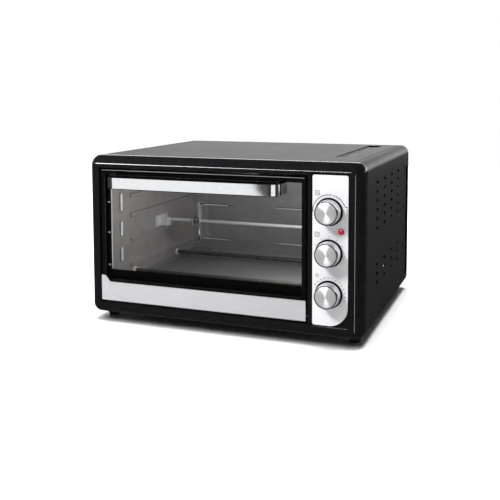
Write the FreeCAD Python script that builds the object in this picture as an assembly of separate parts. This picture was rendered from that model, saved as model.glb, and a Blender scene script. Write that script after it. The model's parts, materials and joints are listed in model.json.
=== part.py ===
import FreeCAD, Part
import math
import os
from FreeCAD import Vector

# Countertop rotisserie oven. Millimetres, +Z up, +X to the right seen from the front, +Y to the back.
# Each shape is drawn with Y = 0 on the front face of the case and Z = 0 on its underside.
# save() then moves it so that the origin is the bottom centre of the whole oven, under its feet.

# ---------------------------------------------------------------- driving dimensions
# case
case_width = 470.0
case_height = 268.0
case_depth = 400.0
case_corner_r = 15.0
sheet = 1.0                     # sheet steel of the case and of the liner
past = 1.0                      # how far a cutting shape runs past the face that it cuts
foot_height = 12.0
foot_r = 11.0
foot_taper = 2.0
foot_recess_r = 3.5
foot_recess_depth = 5.0
foot_side_inset = 22.0
foot_front_inset = 46.0
foot_rear_inset = 50.0

# front frame
frame_depth = 30.0
bevel_depth = 21.0
bevel_inset = 12.4
bevel_power = 1.6               # how fast the bevel turns from the ridge to the sides
bevel_shell = 5.5               # thickness of the moulding behind the bevel
bevel_hollow_start = 12.0
ridge_corner_r = 6.0
ridge_fillet = 3.0
frame_wall = 3.0
frame_inner_depth = 20.0        # how far the wall round the door opening reaches back
frame_spigot = 5.0              # lip that the cover and the base pan slip over
spigot_clearance = 0.1

# door
door_margin_left = 26.3
door_margin_top = 21.5
door_bottom = 25.0
door_thickness = 15.0
door_gap = 2.5                  # clearance between the door and the front frame
door_swing_gap = 1.0            # more below it, where the door's lower edge swings through
door_corner_r = 3.0
door_edge_fillet = 3.0
window_rim = 7.0                # width of the rim at the window's sides, seen from the front
window_top_rail = 9.0
window_bottom = 62.0
retainer_thickness = 2.0
retainer_lip = 5.2              # how far the retainer shows inside the rim
glass_thickness = 4.0
glass_hold = 2.0                # width of glass that the retainer covers
rivet_heights = (83.4, 138.3, 189.5)
rivet_head_r = 1.5
rivet_shank_r = 1.2
hinge_height = 32.0
hinge_depth = 8.0
hinge_pin_r = 2.5
hinge_clearance = 0.05
hinge_pin_reach = 6.5           # how far a hinge pin stands out of the door's side
hinge_pin_inside = 12.0
door_tail_gap = 4.0             # between the thick foot of the door and the window
door_tail_fillet = 1.8
door_hollow_side = 8.0          # solid moulding round the hollow of the lower panel
door_hollow_front = 5.0
door_hollow_low = 16.0
door_hollow_high = 7.0
window_corner_r = 2.0
pane_overlap = 1.5              # of the pane past the window, above and below
pane_overlap_right = 1.0
pane_clearance = 0.2
retainer_edge = 1.5             # of the retainer inside the door's outline
retainer_below_window = 3.5
retainer_corner_r = 2.0
view_corner_r = 1.0
view_right = 1.0                # of the retainer's opening inside the window
view_end = 2.0
rivet_head_height = 1.6

# door trim strip
trim_thickness = 1.2
trim_proud = 0.4
trim_bottom_margin = 1.0
trim_top = 57.5
trim_flick_top = 68.0
trim_flick_width = 4.7
trim_flick_run = 14.0
trim_flick_ease = 0.45          # share of the run that each end of the S stays level
trim_right_margin = 0.6
trim_clearance = 0.15           # round the strip in its recess

# handle
handle_offset = -2.8            # of its middle from the door's middle
handle_end_margin = 30.5        # between each end of the handle and the door's edge
handle_projection = 33.0
handle_height = 18.0
handle_mid = 228.0
handle_bend_r = 16.0
handle_bar_thickness = 2.5
handle_body_thickness = 8.5
handle_body_rise = 3.5          # of the black moulding above the chromed bar
handle_body_drop = 1.0          # and below it
handle_lip_gap = 3.0            # between the raised part of the moulding and the door's face
handle_post_width = 12.0
handle_post_reach = 12.0        # of a post in front of the door's face
handle_screw_r = 2.5
handle_screw_head_r = 4.5
handle_screw_head_height = 1.5
handle_screw_bite = 9.0         # of a screw in front of the door's face
handle_screw_clearance = 0.3    # in the pane

# control panel
fascia_margin_right = 22.2
fascia_width = 54.8
fascia_bottom = 22.5
fascia_margin_top = 17.5
fascia_thickness = 1.0
fascia_corner_r = 3.0
fascia_low_corner_r = 30.0
fascia_gap = 2.2                # black groove round the fascia
pocket_depth = 1.6
pocket_web = 3.0
divider_width = 9.7
knob_offset = -1.7              # of the knobs from the middle of the fascia
knob_drop = 0.6                 # of the middle knob below the middle of the case
knob_pitch = 62.5
knob_skirt_r = 21.3
knob_skirt_thickness = 2.4
knob_skirt_taper = 1.0
knob_body_r = 19.3
knob_body_taper = 1.7           # how much smaller a knob's front is than its foot
knob_seat_r = 17.2
knob_face_r = 16.6
knob_height = 19.0
knob_cap_thickness = 1.6
knob_cap_drop = 0.2             # of the face below the rim
knob_rim_fillet = 0.3
knob_shaft_bite = 9.0           # how far a shaft reaches into its knob
pointer_width = 1.2
pointer_inner = 7.0
pointer_outer = 13.0
pointer_depth = 0.5
knob_lift = 0.8                 # gap between a knob and the fascia
shaft_r = 3.0
shaft_clearance = 0.05
shaft_hole_r = 4.2
bushing_r = 4.5
shaft_in_control = 14.0
indicator_r = 4.8
indicator_offset = 18.5
indicator_rise = 33.2
indicator_dome = 2.8
indicator_body_r = 4.0
bracket_gap_left = 0.5          # of the controls' bracket from the cavity wall
bracket_gap_right = 6.0         # and from the side of the case
bracket_below = 6.0             # past the foot of the fascia
bracket_above = 4.0             # past its top
bushing_front = 4.0             # of a control's bushing in front of the bracket
switch_width = 36.0
switch_height = 34.0
switch_depth = 30.0
switch_tabs = 4
switch_tab_spread = 24.0
switch_tab_width = 3.0
switch_tab_height = 6.0
switch_tab_length = 7.0
thermostat_r = 20.0
thermostat_depth = 18.0
thermostat_stack_width = 16.0
thermostat_stack_height = 28.0
thermostat_stack_depth = 16.0
timer_width = 48.0
timer_height = 44.0
timer_depth = 26.0
bell_r = 21.0
bell_depth = 12.0

# oven cavity
cavity_side_left = 5.7          # of the cavity wall from the door's left edge
cavity_side_right = 3.3
cavity_floor_height = 40.0
cavity_roof_gap = 28.0          # between the roof and the top of the case
cavity_back_gap = 50.0
cavity_mouth_r = 4.0
face_margin = 8.0               # of the steel plate round the mouth from the case
face_overlap = 6.0              # of that plate past the door opening, towards the controls
back_dish_side = 28.0           # of the dished field in the back wall from the cavity's sides
back_dish_height = 30.0         # and from its floor and roof
back_dish_depth = 4.0
back_dish_r = 16.0
guide_heights = (66.5, 112.0, 156.0, 190.0)
guide_height = 9.0
guide_depth = 4.0
guide_slope = 2.0               # height of a ridge's sloping top and bottom
guide_start = 64.0              # behind the cavity's front edge
guide_end_gap = 6.0
stop_width = 12.0
stop_thickness = 2.0
stop_depth = 35.0               # of the stops' middle behind the cavity's front edge
stop_spans = ((47.5, 60.0), (78.0, 106.0), (122.5, 150.5), (166.5, 200.5))
tray_clearance = 2.0
tray_rim = 8.0
tray_front_gap = 1.0            # between the tray and the cavity's front edge

# heating elements
element_r = 3.6
element_pin_r = 1.5
element_pin_length = 10.0
element_upper_drop = 13.0
element_lower_height = 54.0
element_inset = 80.0            # of each pair from the front and the back of the cavity
insulator_r = 6.0
insulator_neck_r = 5.0
insulator_collar = 3.0
insulator_tail = 8.0

# rotisserie
spit_r = 3.0
spit_height = 131.0
spit_depth = 205.0
spit_left_gap = 9.0             # of the rod's end from the left wall
spit_in_socket = 10.0
spit_clearance = 0.05
spit_point_length = 4.0
spit_point_r = 1.2
socket_r = 7.0
socket_length = 14.0
socket_wall_gap = 0.5
socket_ring_gap = 1.0           # between the socket and the ring round it
socket_ring_r = 14.0
socket_ring_thickness = 2.5
motor_shaft_r = 3.5
shaft_hole_clearance = 0.6      # round the drive shaft in the cavity wall
motor_shaft_reach = 14.0
motor_width = 46.0
motor_height = 52.0
motor_thickness = 24.0
motor_above_share = 0.4         # part of the gearbox that is above its shaft
motor_corner_r = 3.0
motor_can_r = 17.0
motor_can_length = 12.0
motor_can_drop = 6.0
motor_bore_spare = 0.5
support_width = 48.0
support_plate_height = 21.0
support_plate_thickness = 1.5
support_block_width = 16.0
support_reach = 17.0
support_block_below = 13.0
support_block_above = 3.0       # above the middle of the rod
support_back = 2.0              # of the block behind the end of its cradle
fork_left_from_wall = 77.0      # middle of each fork's hub from the nearer cavity wall
fork_right_from_wall = 44.0
fork_hub_r = 7.0
fork_hub_length = 12.0
fork_prong_offset = 32.0
fork_prong_r = 2.0
fork_prong_length = 70.0
fork_tip_length = 12.0
fork_tip_r = 0.4
fork_prong_sunk = 1.0           # of a prong's root in the bar
fork_bar_thickness = 3.0
fork_bar_width = 9.0
screw_shank_r = 2.0
screw_clearance = 0.05
screw_head_r = 6.0
screw_head_width = 3.0
screw_stand = 8.0
screw_offset = 1.5              # of a thumbscrew from the middle of its hub, away from the prongs
screw_tip_gap = 0.4             # between a thumbscrew and the rod
screw_collar_r = 4.0
screw_collar_height = 2.5
screw_grip_sunk = 1.0

# vents and rear
cover_side_bottom = 22.6
seam = 0.6
vent_length = 14.0
vent_height = 5.0
vent_column_start = 103.6
vent_column_pitch = 60.6
vent_columns = 5
vent_row_pitch = 14.65
vent_upper_top = 230.4
vent_upper_rows = 6
vent_lower_top = 98.5
vent_lower_rows = 3
top_vent_margin = 45.0          # of the vent strip's right edge from the side of the case
top_vent_width = 28.0
top_vent_front = 110.0
top_vent_length = 260.0
top_vent_drop = 2.0
top_vent_slots = 14
top_vent_border = 4.0           # solid strip beside the slots
top_vent_slot_share = 0.4       # slot width over the pitch
cover_rear_gap = 4.0            # between the cover's rear edge and the back of the case
recess_from_rear = 32.0         # dark vertical recess near the rear edge of each side
recess_width = 22.0
recess_top = 231.0
rear_wall_inset = 4.0
rear_wall_depth = 34.0
rear_field_margin = 34.0
rear_field_rise = 3.0
rear_field_low = 58.0           # foot of the pressed field
rear_field_corner_r = 12.0
rear_slot_side = 64.0           # of the outer slots from the sides of the case
rear_slot_inset = 90.0          # of both rows of slots from the top and the foot of the case
rear_slot_width = 4.0
rear_slot_height = 30.0
rear_slot_columns = 14
rear_screw_r = 3.6
rear_screw_head = 2.0
rear_screw_edge = 11.0          # of a screw from the edge of the case
rear_screw_corner = 22.0
rear_screw_low = 15.0
cross_arm = 2.2
cross_half_width = 0.4
cross_depth = 1.0
gland_r = 8.5
gland_bore_r = 3.75
gland_flange = 3.0
gland_neck_r = 7.0
gland_inner = 8.0
gland_side_inset = 48.0
gland_height = 30.0
base_wall = 1.2
base_lip = 8.0
base_lip_clearance = 0.1        # inside the cover
base_lip_end = 8.0              # of a lip in front of the recess
base_slot_rows = 6
base_slot_start = 120.0
base_slot_pitch = 32.0
base_slot_spread = 120.0        # between the columns of slots
base_slot_length = 36.0
base_slot_width = 4.0

# ---------------------------------------------------------------- derived places
half_width = case_width / 2
front_face_y = (handle_projection - case_depth) / 2

fascia_right = half_width - fascia_margin_right
fascia_left = fascia_right - fascia_width
fascia_top = case_height - fascia_margin_top
door_left = -half_width + door_margin_left
door_right = fascia_left - divider_width
door_top = case_height - door_margin_top
door_mid_x = (door_left + door_right) / 2

opening_left = door_left - door_gap
opening_right = door_right + door_gap
opening_bottom = door_bottom - door_gap - door_swing_gap
opening_top = door_top + door_gap

window_left = door_left + window_rim
window_right = door_right - window_rim
window_top = door_top - window_top_rail
clear_left = window_left + retainer_lip
clear_right = window_right - view_right
clear_top = window_top - view_end
clear_bottom = window_bottom + view_end
retainer_y = door_thickness - retainer_thickness
glass_y = retainer_y - glass_thickness

cavity_left = door_left + cavity_side_left
cavity_right = door_right - cavity_side_right
cavity_roof = case_height - cavity_roof_gap
cavity_front = frame_inner_depth + sheet
cavity_back = case_depth - cavity_back_gap
cavity_mid_x = (cavity_left + cavity_right) / 2

knob_x = (fascia_left + fascia_right) / 2 + knob_offset
knob_mid_z = case_height / 2 - knob_drop
knob_heights = (knob_mid_z + knob_pitch, knob_mid_z, knob_mid_z - knob_pitch)
pocket_floor_y = pocket_depth
bracket_y = cavity_front
control_y = bracket_y + sheet

cover_front = frame_depth
cover_rear = case_depth - cover_rear_gap
recess_start = case_depth - recess_from_rear
handle_length = door_right - door_left - 2 * handle_end_margin
fork_left_place = cavity_left + fork_left_from_wall
fork_right_place = cavity_right - fork_right_from_wall
element_depths = (cavity_front + element_inset, cavity_back - element_inset)
element_heights = (cavity_roof - element_upper_drop, element_lower_height)

os.makedirs("parts", exist_ok=True)


# ---------------------------------------------------------------- drawing helpers
def save(node, shape):
    """Move a finished shape into the oven's frame and write it as one STEP file."""
    placed = shape.copy()
    placed.translate(Vector(0, front_face_y, foot_height))
    placed.exportStep("parts/" + node + ".step")


def box(x0, x1, y0, y1, z0, z1):
    return Part.makeBox(x1 - x0, y1 - y0, z1 - z0, Vector(x0, y0, z0))


def rod_x(x0, x1, y, z, r):
    return Part.makeCylinder(r, x1 - x0, Vector(x0, y, z), Vector(1, 0, 0))


def rod_y(y0, y1, x, z, r):
    return Part.makeCylinder(r, y1 - y0, Vector(x, y0, z), Vector(0, 1, 0))


def rod_z(z0, z1, x, y, r):
    return Part.makeCylinder(r, z1 - z0, Vector(x, y, z0), Vector(0, 0, 1))


def cone_y(y0, y1, x, z, r0, r1):
    return Part.makeCone(r0, r1, y1 - y0, Vector(x, y0, z), Vector(0, 1, 0))


def fuse(shapes):
    first = shapes[0]
    if len(shapes) == 1:
        return first
    return first.fuse(shapes[1:]).removeSplitter()


def group(shapes):
    return Part.makeCompound(shapes)


def rounded_wire(x0, x1, z0, z1, y, radii):
    """Upright rectangle at depth y. radii: bottom left, bottom right, top right, top left."""
    signs = ((1, 1, 180), (-1, 1, 270), (-1, -1, 0), (1, -1, 90))
    corners = ((x0, z0), (x1, z0), (x1, z1), (x0, z1))
    arcs = []
    for (corner_x, corner_z), (side_x, side_z, start), r in zip(corners, signs, radii):
        mid_x = corner_x + side_x * r
        mid_z = corner_z + side_z * r
        turn = [math.radians(start + step) for step in (0, 45, 90)]
        arcs.append([Vector(mid_x + r * math.cos(a), y, mid_z + r * math.sin(a)) for a in turn])
    edges = []
    for here, following in zip(arcs, arcs[1:] + arcs[:1]):
        if here[0].distanceToPoint(here[2]) > 1e-6:
            edges.append(Part.Arc(*here).toShape())
        edges.append(Part.LineSegment(here[2], following[0]).toShape())
    return Part.Wire(edges)


def rounded_plate(x0, x1, z0, z1, y0, y1, radii):
    """Upright plate from depth y0 to y1. radii is one radius or four, as in rounded_wire."""
    four = radii if isinstance(radii, tuple) else (radii,) * 4
    face = Part.Face(rounded_wire(x0, x1, z0, z1, y0, four))
    return face.extrude(Vector(0, y1 - y0, 0))


def side_slot(x0, x1, y, z, length, height):
    """Round-ended slot through a side wall, longer along Y."""
    r = height / 2
    reach = length / 2 - r
    return fuse([box(x0, x1, y - reach, y + reach, z - r, z + r),
                 rod_x(x0, x1, y - reach, z, r),
                 rod_x(x0, x1, y + reach, z, r)])


def side_stadium(x0, x1, y, z0, z1, width):
    """Upright round-ended plate on a side wall."""
    r = width / 2
    shapes = [rod_x(x0, x1, y, z0 + r, r), rod_x(x0, x1, y, z1 - r, r)]
    if z1 - z0 > width:
        shapes.append(box(x0, x1, y - r, y + r, z0 + r, z1 - r))
    return fuse(shapes)


def edges_at_depth(shape, y, inside=None):
    """Edges that lie in the upright plane at depth y, within an (x0, x1, z0, z1) window."""
    found = []
    for edge in shape.Edges:
        bounds = edge.BoundBox
        if abs(bounds.YMin - y) > 0.01 or abs(bounds.YMax - y) > 0.01:
            continue
        if inside:
            x0, x1, z0, z1 = inside
            if bounds.XMin < x0 or bounds.XMax > x1 or bounds.ZMin < z0 or bounds.ZMax > z1:
                continue
        found.append(edge)
    return found


# ---------------------------------------------------------------- case
def make_front_frame():
    """Glossy picture-frame front with a rounded bevel, a door opening and a pocket for the controls."""
    sections = []
    for fraction in (0.0, 0.33, 0.66, 1.0):
        fall = (1 - fraction) ** bevel_power
        inset = bevel_inset * fall
        corner = case_corner_r - (case_corner_r - ridge_corner_r) * fall
        sections.append(rounded_wire(-half_width + inset, half_width - inset, inset, case_height - inset,
                                     bevel_depth * fraction, (corner,) * 4))
    bevel = Part.makeLoft(sections, True, False)
    rim = rounded_plate(-half_width, half_width, 0, case_height, bevel_depth, frame_depth, case_corner_r)
    spigot_inset = base_wall + spigot_clearance
    spigot = rounded_plate(-half_width + spigot_inset, half_width - spigot_inset,
                           spigot_inset, case_height - spigot_inset,
                           frame_depth, frame_depth + frame_spigot, case_corner_r - spigot_inset)
    frame = bevel.fuse([rim, spigot]).removeSplitter()
    frame = frame.makeFillet(ridge_fillet, edges_at_depth(frame, 0))

    opening = box(opening_left, opening_right, -past, frame_depth + frame_spigot + past,
                  opening_bottom, opening_top)
    pocket = rounded_plate(fascia_left - fascia_gap, fascia_right + fascia_gap, fascia_bottom - fascia_gap,
                           fascia_top + fascia_gap, -past, pocket_floor_y, fascia_corner_r)
    wall = bevel_shell
    frame_end = frame_depth + frame_spigot + past
    hollow = rounded_plate(-half_width + wall, half_width - wall, wall, case_height - wall,
                           bevel_hollow_start, frame_end, case_corner_r - wall)
    door_wall = box(opening_left - frame_wall, opening_right + frame_wall, 0, frame_inner_depth,
                    opening_bottom - frame_wall, opening_top + frame_wall)
    behind_controls = box(opening_right + frame_wall, fascia_right, pocket_floor_y + pocket_web,
                          frame_end, fascia_bottom, fascia_top)
    web_back = pocket_floor_y + pocket_web + past
    holes = [rod_y(-past, web_back, knob_x, z, shaft_hole_r) for z in knob_heights]
    holes.append(rod_y(-past, web_back, indicator_x(), indicator_z(), indicator_body_r))
    pin_hole_r = hinge_pin_r + hinge_clearance
    pin_hole_end = hinge_pin_reach + frame_wall + past
    holes.append(rod_x(door_left - pin_hole_end, door_right + pin_hole_end, hinge_depth, hinge_height, pin_hole_r))
    return frame.cut([opening, pocket, hollow.cut(door_wall), behind_controls] + holes)


def indicator_x():
    return knob_x + indicator_offset


def indicator_z():
    return knob_mid_z + indicator_rise


def make_outer_cover():
    """Sheet steel wrap: top and both sides, with side vents, a rear recess and a hole for the top vent."""
    top_r = case_corner_r
    inner_r = case_corner_r - sheet
    outer = rounded_plate(-half_width, half_width, cover_side_bottom, case_height, cover_front, cover_rear,
                          (0, 0, top_r, top_r))
    inner = rounded_plate(-half_width + sheet, half_width - sheet, cover_side_bottom - past, case_height - sheet,
                          cover_front - past, cover_rear + past, (0, 0, inner_r, inner_r))
    cuts = [inner]
    rows = [vent_upper_top - row * vent_row_pitch for row in range(vent_upper_rows)]
    rows += [vent_lower_top - row * vent_row_pitch for row in range(vent_lower_rows)]
    for side in (-1, 1):
        x0, x1 = sorted((side * (half_width - sheet - past), side * (half_width + past)))
        for column in range(vent_columns):
            y = vent_column_start + column * vent_column_pitch
            cuts += [side_slot(x0, x1, y, z, vent_length, vent_height) for z in rows]
        cuts.append(box(x0, x1, recess_start, recess_start + recess_width, 0, recess_top))
    x1 = half_width - top_vent_margin
    cuts.append(box(x1 - top_vent_width, x1, top_vent_front, top_vent_front + top_vent_length,
                    case_height - sheet - past, case_height + past))
    return outer.cut(cuts)


def make_top_vent():
    """Slotted strip let into the top, over the controls."""
    x1 = half_width - top_vent_margin
    x0 = x1 - top_vent_width
    y0 = top_vent_front
    y1 = y0 + top_vent_length
    floor_top = case_height - top_vent_drop
    tray = box(x0, x1, y0, y1, floor_top - sheet, case_height)
    inside = box(x0 + sheet, x1 - sheet, y0 + sheet, y1 - sheet, floor_top, case_height + past)
    pitch = (top_vent_length - 2 * sheet) / top_vent_slots
    slots = []
    for slot in range(top_vent_slots):
        y = y0 + sheet + pitch * (slot + 0.5)
        reach = pitch * top_vent_slot_share / 2
        slots.append(box(x0 + top_vent_border, x1 - top_vent_border, y - reach, y + reach,
                         floor_top - sheet - past, floor_top + past))
    return tray.cut([inside] + slots)


def make_base_pan():
    """Shallow pan that closes the underside, with a lip behind the cover's lower edge."""
    y0 = frame_depth + seam
    y1 = cover_rear
    low_r = case_corner_r
    top = cover_side_bottom - seam
    outer = rounded_plate(-half_width, half_width, 0, top, y0, y1, (low_r, low_r, 0, 0))
    inner = rounded_plate(-half_width + base_wall, half_width - base_wall, base_wall, top + past,
                          y0 - past, y1 - base_wall, (low_r - base_wall, low_r - base_wall, 0, 0))
    front_wall_y = y0 + frame_spigot
    front_wall = rounded_plate(-half_width + base_wall, half_width - base_wall, base_wall, top,
                               front_wall_y, front_wall_y + base_wall, (low_r - base_wall, low_r - base_wall, 0, 0))
    lips = []
    for side in (-1, 1):
        lip_x = half_width - sheet - base_lip_clearance
        x0, x1 = sorted((side * lip_x, side * (lip_x - sheet)))
        lips.append(box(x0, x1, front_wall_y, recess_start - base_lip_end, low_r, cover_side_bottom + base_lip))
    pan = fuse([outer.cut(inner), front_wall] + lips)
    slots = []
    for row in range(base_slot_rows):
        y = base_slot_start + row * base_slot_pitch
        for x in (-base_slot_spread, 0, base_slot_spread):
            slots.append(box(x - base_slot_length / 2, x + base_slot_length / 2, y, y + base_slot_width,
                             -past, base_wall + past))
    return pan.cut(slots)


def make_rear_panel():
    """Back panel with a pressed field, cooling slots and a wall that stands inside the cover."""
    edge = sheet
    plate = rounded_plate(-half_width + edge, half_width - edge, edge, case_height - edge,
                          cover_rear, cover_rear + sheet, case_corner_r - edge)
    inset = rear_wall_inset
    wall_low = cover_side_bottom - seam
    top_r = case_corner_r - inset
    wall_outer = rounded_plate(-half_width + inset, half_width - inset, wall_low, case_height - inset,
                               cover_rear - rear_wall_depth, cover_rear, (0, 0, top_r, top_r))
    top_r -= sheet
    wall_inner = rounded_plate(-half_width + inset + sheet, half_width - inset - sheet,
                               wall_low - past, case_height - inset - sheet,
                               cover_rear - rear_wall_depth - past, cover_rear, (0, 0, top_r, top_r))
    margin = rear_field_margin
    field_rear = cover_rear + sheet + rear_field_rise
    field = rounded_plate(-half_width + margin, half_width - margin, rear_field_low, case_height - margin,
                          cover_rear, field_rear, rear_field_corner_r)
    field_inner = rounded_plate(-half_width + margin + sheet, half_width - margin - sheet,
                                rear_field_low + sheet, case_height - margin - sheet,
                                cover_rear - past, field_rear - sheet, rear_field_corner_r - sheet)
    panel = fuse([plate, wall_outer.cut(wall_inner), field]).cut(field_inner)
    cuts = []
    span = case_width - 2 * rear_slot_side
    for column in range(rear_slot_columns):
        x = -span / 2 + span * column / (rear_slot_columns - 1)
        for z in (case_height - rear_slot_inset, rear_slot_inset):
            cuts.append(box(x - rear_slot_width / 2, x + rear_slot_width / 2, cover_rear - past, field_rear + past,
                            z - rear_slot_height / 2, z + rear_slot_height / 2))
    cuts.append(rod_y(cover_rear - past, field_rear + past, gland_x(), gland_height, gland_neck_r))
    return panel.cut(cuts)


def gland_x():
    return half_width - gland_side_inset


def make_cable_gland():
    """Bushing in the back panel where the supply lead comes in."""
    y = cover_rear + sheet
    flange = rod_y(y, y + gland_flange, gland_x(), gland_height, gland_r)
    neck = rod_y(cover_rear - gland_inner, y, gland_x(), gland_height, gland_neck_r)
    bore = rod_y(cover_rear - gland_inner - past, y + gland_flange + past, gland_x(), gland_height, gland_bore_r)
    return fuse([flange, neck]).cut(bore)


def rear_screw_places():
    xs = (-half_width + rear_screw_corner, 0.0, half_width - rear_screw_corner)
    places = [(x, z) for x in xs for z in (rear_screw_low, case_height - rear_screw_edge)]
    return places + [(side * (half_width - rear_screw_edge), case_height / 2) for side in (-1, 1)]


def make_rear_screws():
    y = cover_rear + sheet
    heads = []
    for x, z in rear_screw_places():
        head = rod_y(y, y + rear_screw_head, x, z, rear_screw_r)
        cross = [box(x - half_x, x + half_x, y + rear_screw_head - cross_depth, y + rear_screw_head + past,
                     z - half_z, z + half_z)
                 for half_x, half_z in ((cross_arm, cross_half_width), (cross_half_width, cross_arm))]
        heads.append(head.cut(cross))
    return group(heads)


def make_foot(x, y):
    """Tapered rubber foot with a screw recess underneath."""
    body = Part.makeCone(foot_r - foot_taper, foot_r, foot_height, Vector(x, y, -foot_height), Vector(0, 0, 1))
    return body.cut(rod_z(-foot_height - past, -foot_height + foot_recess_depth, x, y, foot_recess_r))


# ---------------------------------------------------------------- oven cavity
def make_cavity_face():
    """Steel plate round the mouth of the oven."""
    plate = rounded_plate(-half_width + face_margin, opening_right + face_overlap, face_margin,
                          case_height - face_margin, frame_inner_depth, cavity_front,
                          (face_margin, 0, 0, face_margin))
    mouth = rounded_plate(cavity_left, cavity_right, cavity_floor_height, cavity_roof,
                          frame_inner_depth - past, cavity_front + past, cavity_mouth_r)
    return plate.cut(mouth)


def guide_ridge(wall_x, inward, z):
    """Pressed ridge that carries a rack: a hollow bead with sloping top and bottom."""
    y0 = cavity_front + guide_start
    y1 = cavity_back - guide_end_gap
    half = guide_height / 2

    def bead(grow, x_shift, y_trim):
        outline = [(0, -half - grow), (guide_depth + x_shift, -half + guide_slope - grow),
                   (guide_depth + x_shift, half - guide_slope + grow), (0, half + grow)]
        points = [Vector(wall_x + inward * x, y0 + y_trim, z + dz) for x, dz in outline]
        face = Part.Face(Part.makePolygon(points + points[:1]))
        return face.extrude(Vector(0, y1 - y0 - 2 * y_trim, 0))

    return bead(0, 0, 0), bead(-sheet, -sheet, sheet)


def make_side_wall(wall_x, inward, extra_holes):
    """Cavity side wall: sheet, four pressed rack guides and holes for the heating elements."""
    x0, x1 = sorted((wall_x, wall_x - inward * sheet))
    wall = box(x0, x1, cavity_front, cavity_back, cavity_floor_height - sheet, cavity_roof + sheet)
    ridges = []
    hollows = []
    for z in guide_heights:
        ridge, hollow = guide_ridge(wall_x, inward, z)
        ridges.append(ridge)
        hollow_in_sheet = hollow.copy()
        hollow_in_sheet.translate(Vector(-inward * sheet, 0, 0))
        hollows += [hollow, hollow_in_sheet]
    holes = [rod_x(x0 - past, x1 + past, y, z, insulator_neck_r)
             for y in element_depths for z in element_heights]
    return fuse([wall] + ridges).cut(hollows + holes + extra_holes)


def make_cavity_left():
    return make_side_wall(cavity_left, 1, [])


def make_cavity_right():
    shaft_hole = rod_x(cavity_right - past, cavity_right + sheet + past, spit_depth, spit_height,
                       motor_shaft_r + shaft_hole_clearance)
    return make_side_wall(cavity_right, -1, [shaft_hole])


def make_cavity_roof():
    return box(cavity_left, cavity_right, cavity_front, cavity_back, cavity_roof, cavity_roof + sheet)


def make_cavity_floor():
    return box(cavity_left, cavity_right, cavity_front, cavity_back,
               cavity_floor_height - sheet, cavity_floor_height)


def make_cavity_back():
    """Back wall with a shallow dished field."""
    wall = box(cavity_left - sheet, cavity_right + sheet, cavity_back, cavity_back + sheet,
               cavity_floor_height - sheet, cavity_roof + sheet)
    dish = rounded_plate(cavity_left + back_dish_side, cavity_right - back_dish_side,
                         cavity_floor_height + back_dish_height, cavity_roof - back_dish_height,
                         cavity_back, cavity_back + back_dish_depth + sheet, back_dish_r)
    side = back_dish_side + sheet
    end = back_dish_height + sheet
    hollow = rounded_plate(cavity_left + side, cavity_right - side, cavity_floor_height + end, cavity_roof - end,
                           cavity_back - past, cavity_back + back_dish_depth, back_dish_r - sheet)
    return fuse([wall, dish]).cut(hollow)


def make_insulators():
    """Ceramic bushes that carry both ends of each heating element."""
    bushes = []
    for y in element_depths:
        for z in element_heights:
            for wall_x, inward in ((cavity_left, 1), (cavity_right, -1)):
                inner = sorted((wall_x, wall_x + inward * insulator_collar))
                tail = sorted((wall_x, wall_x - inward * (sheet + insulator_tail)))
                reach = sheet + insulator_tail + past
                bore = (wall_x - reach, wall_x + reach)
                bush = fuse([rod_x(*inner, y, z, insulator_r), rod_x(*tail, y, z, insulator_neck_r)])
                bushes.append(bush.cut(rod_x(*bore, y, z, element_r)))
    return group(bushes)


def make_element(y, z):
    """Sheathed heating element with a terminal pin at each end."""
    reach = sheet + insulator_tail
    tube = rod_x(cavity_left - reach, cavity_right + reach, y, z, element_r)
    pins = [rod_x(cavity_left - reach - element_pin_length, cavity_left - reach, y, z, element_pin_r),
            rod_x(cavity_right + reach, cavity_right + reach + element_pin_length, y, z, element_pin_r)]
    return fuse([tube] + pins)


def make_rack_stops():
    """Bright upright strips near the mouth that stop a rack from tipping."""
    y = cavity_front + stop_depth
    stops = []
    for z0, z1 in stop_spans:
        stops.append(side_stadium(cavity_left, cavity_left + stop_thickness, y, z0, z1, stop_width))
        stops.append(side_stadium(cavity_right - stop_thickness, cavity_right, y, z0, z1, stop_width))
    return group(stops)


def make_crumb_tray():
    """Shallow tray lying on the oven floor, with a turned-up rim all round."""
    x0 = cavity_left + tray_clearance
    x1 = cavity_right - tray_clearance
    y0 = cavity_front + tray_front_gap
    y1 = cavity_back - tray_clearance
    z0 = cavity_floor_height
    z1 = z0 + tray_rim
    inside = box(x0 + sheet, x1 - sheet, y0 + sheet, y1 - sheet, z0 + sheet, z1 + past)
    return box(x0, x1, y0, y1, z0, z1).cut(inside)


# ---------------------------------------------------------------- rotisserie
def make_spit_support():
    """Bracket on the left wall with an open cradle for the end of the rod."""
    x0 = cavity_left
    z_top = spit_height + support_block_above
    cradle_start = x0 + support_plate_thickness + support_back
    plate = box(x0, x0 + support_plate_thickness, spit_depth - support_width / 2, spit_depth + support_width / 2,
                spit_height - support_block_below, spit_height - support_block_below + support_plate_height)
    block = box(x0, x0 + support_reach, spit_depth - support_block_width / 2, spit_depth + support_block_width / 2,
                spit_height - support_block_below, z_top)
    cradle_r = spit_r + spit_clearance
    cradle_end = x0 + support_reach + past
    groove = rod_x(cradle_start, cradle_end, spit_depth, spit_height, cradle_r)
    above = box(cradle_start, cradle_end, spit_depth - cradle_r, spit_depth + cradle_r, spit_height, z_top + past)
    return fuse([plate, block]).cut([groove, above])


def make_spit_rod():
    """Round rod, blunt in its cradle and pointed where it enters the drive."""
    x0 = cavity_left + spit_left_gap
    x1 = cavity_right - socket_wall_gap - socket_length + spit_in_socket
    point_x = x1 - spit_point_length
    rod = rod_x(x0, point_x, spit_depth, spit_height, spit_r)
    tip = Part.makeCone(spit_r, spit_point_r, spit_point_length, Vector(point_x, spit_depth, spit_height),
                        Vector(1, 0, 0))
    return fuse([rod, tip])


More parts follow.
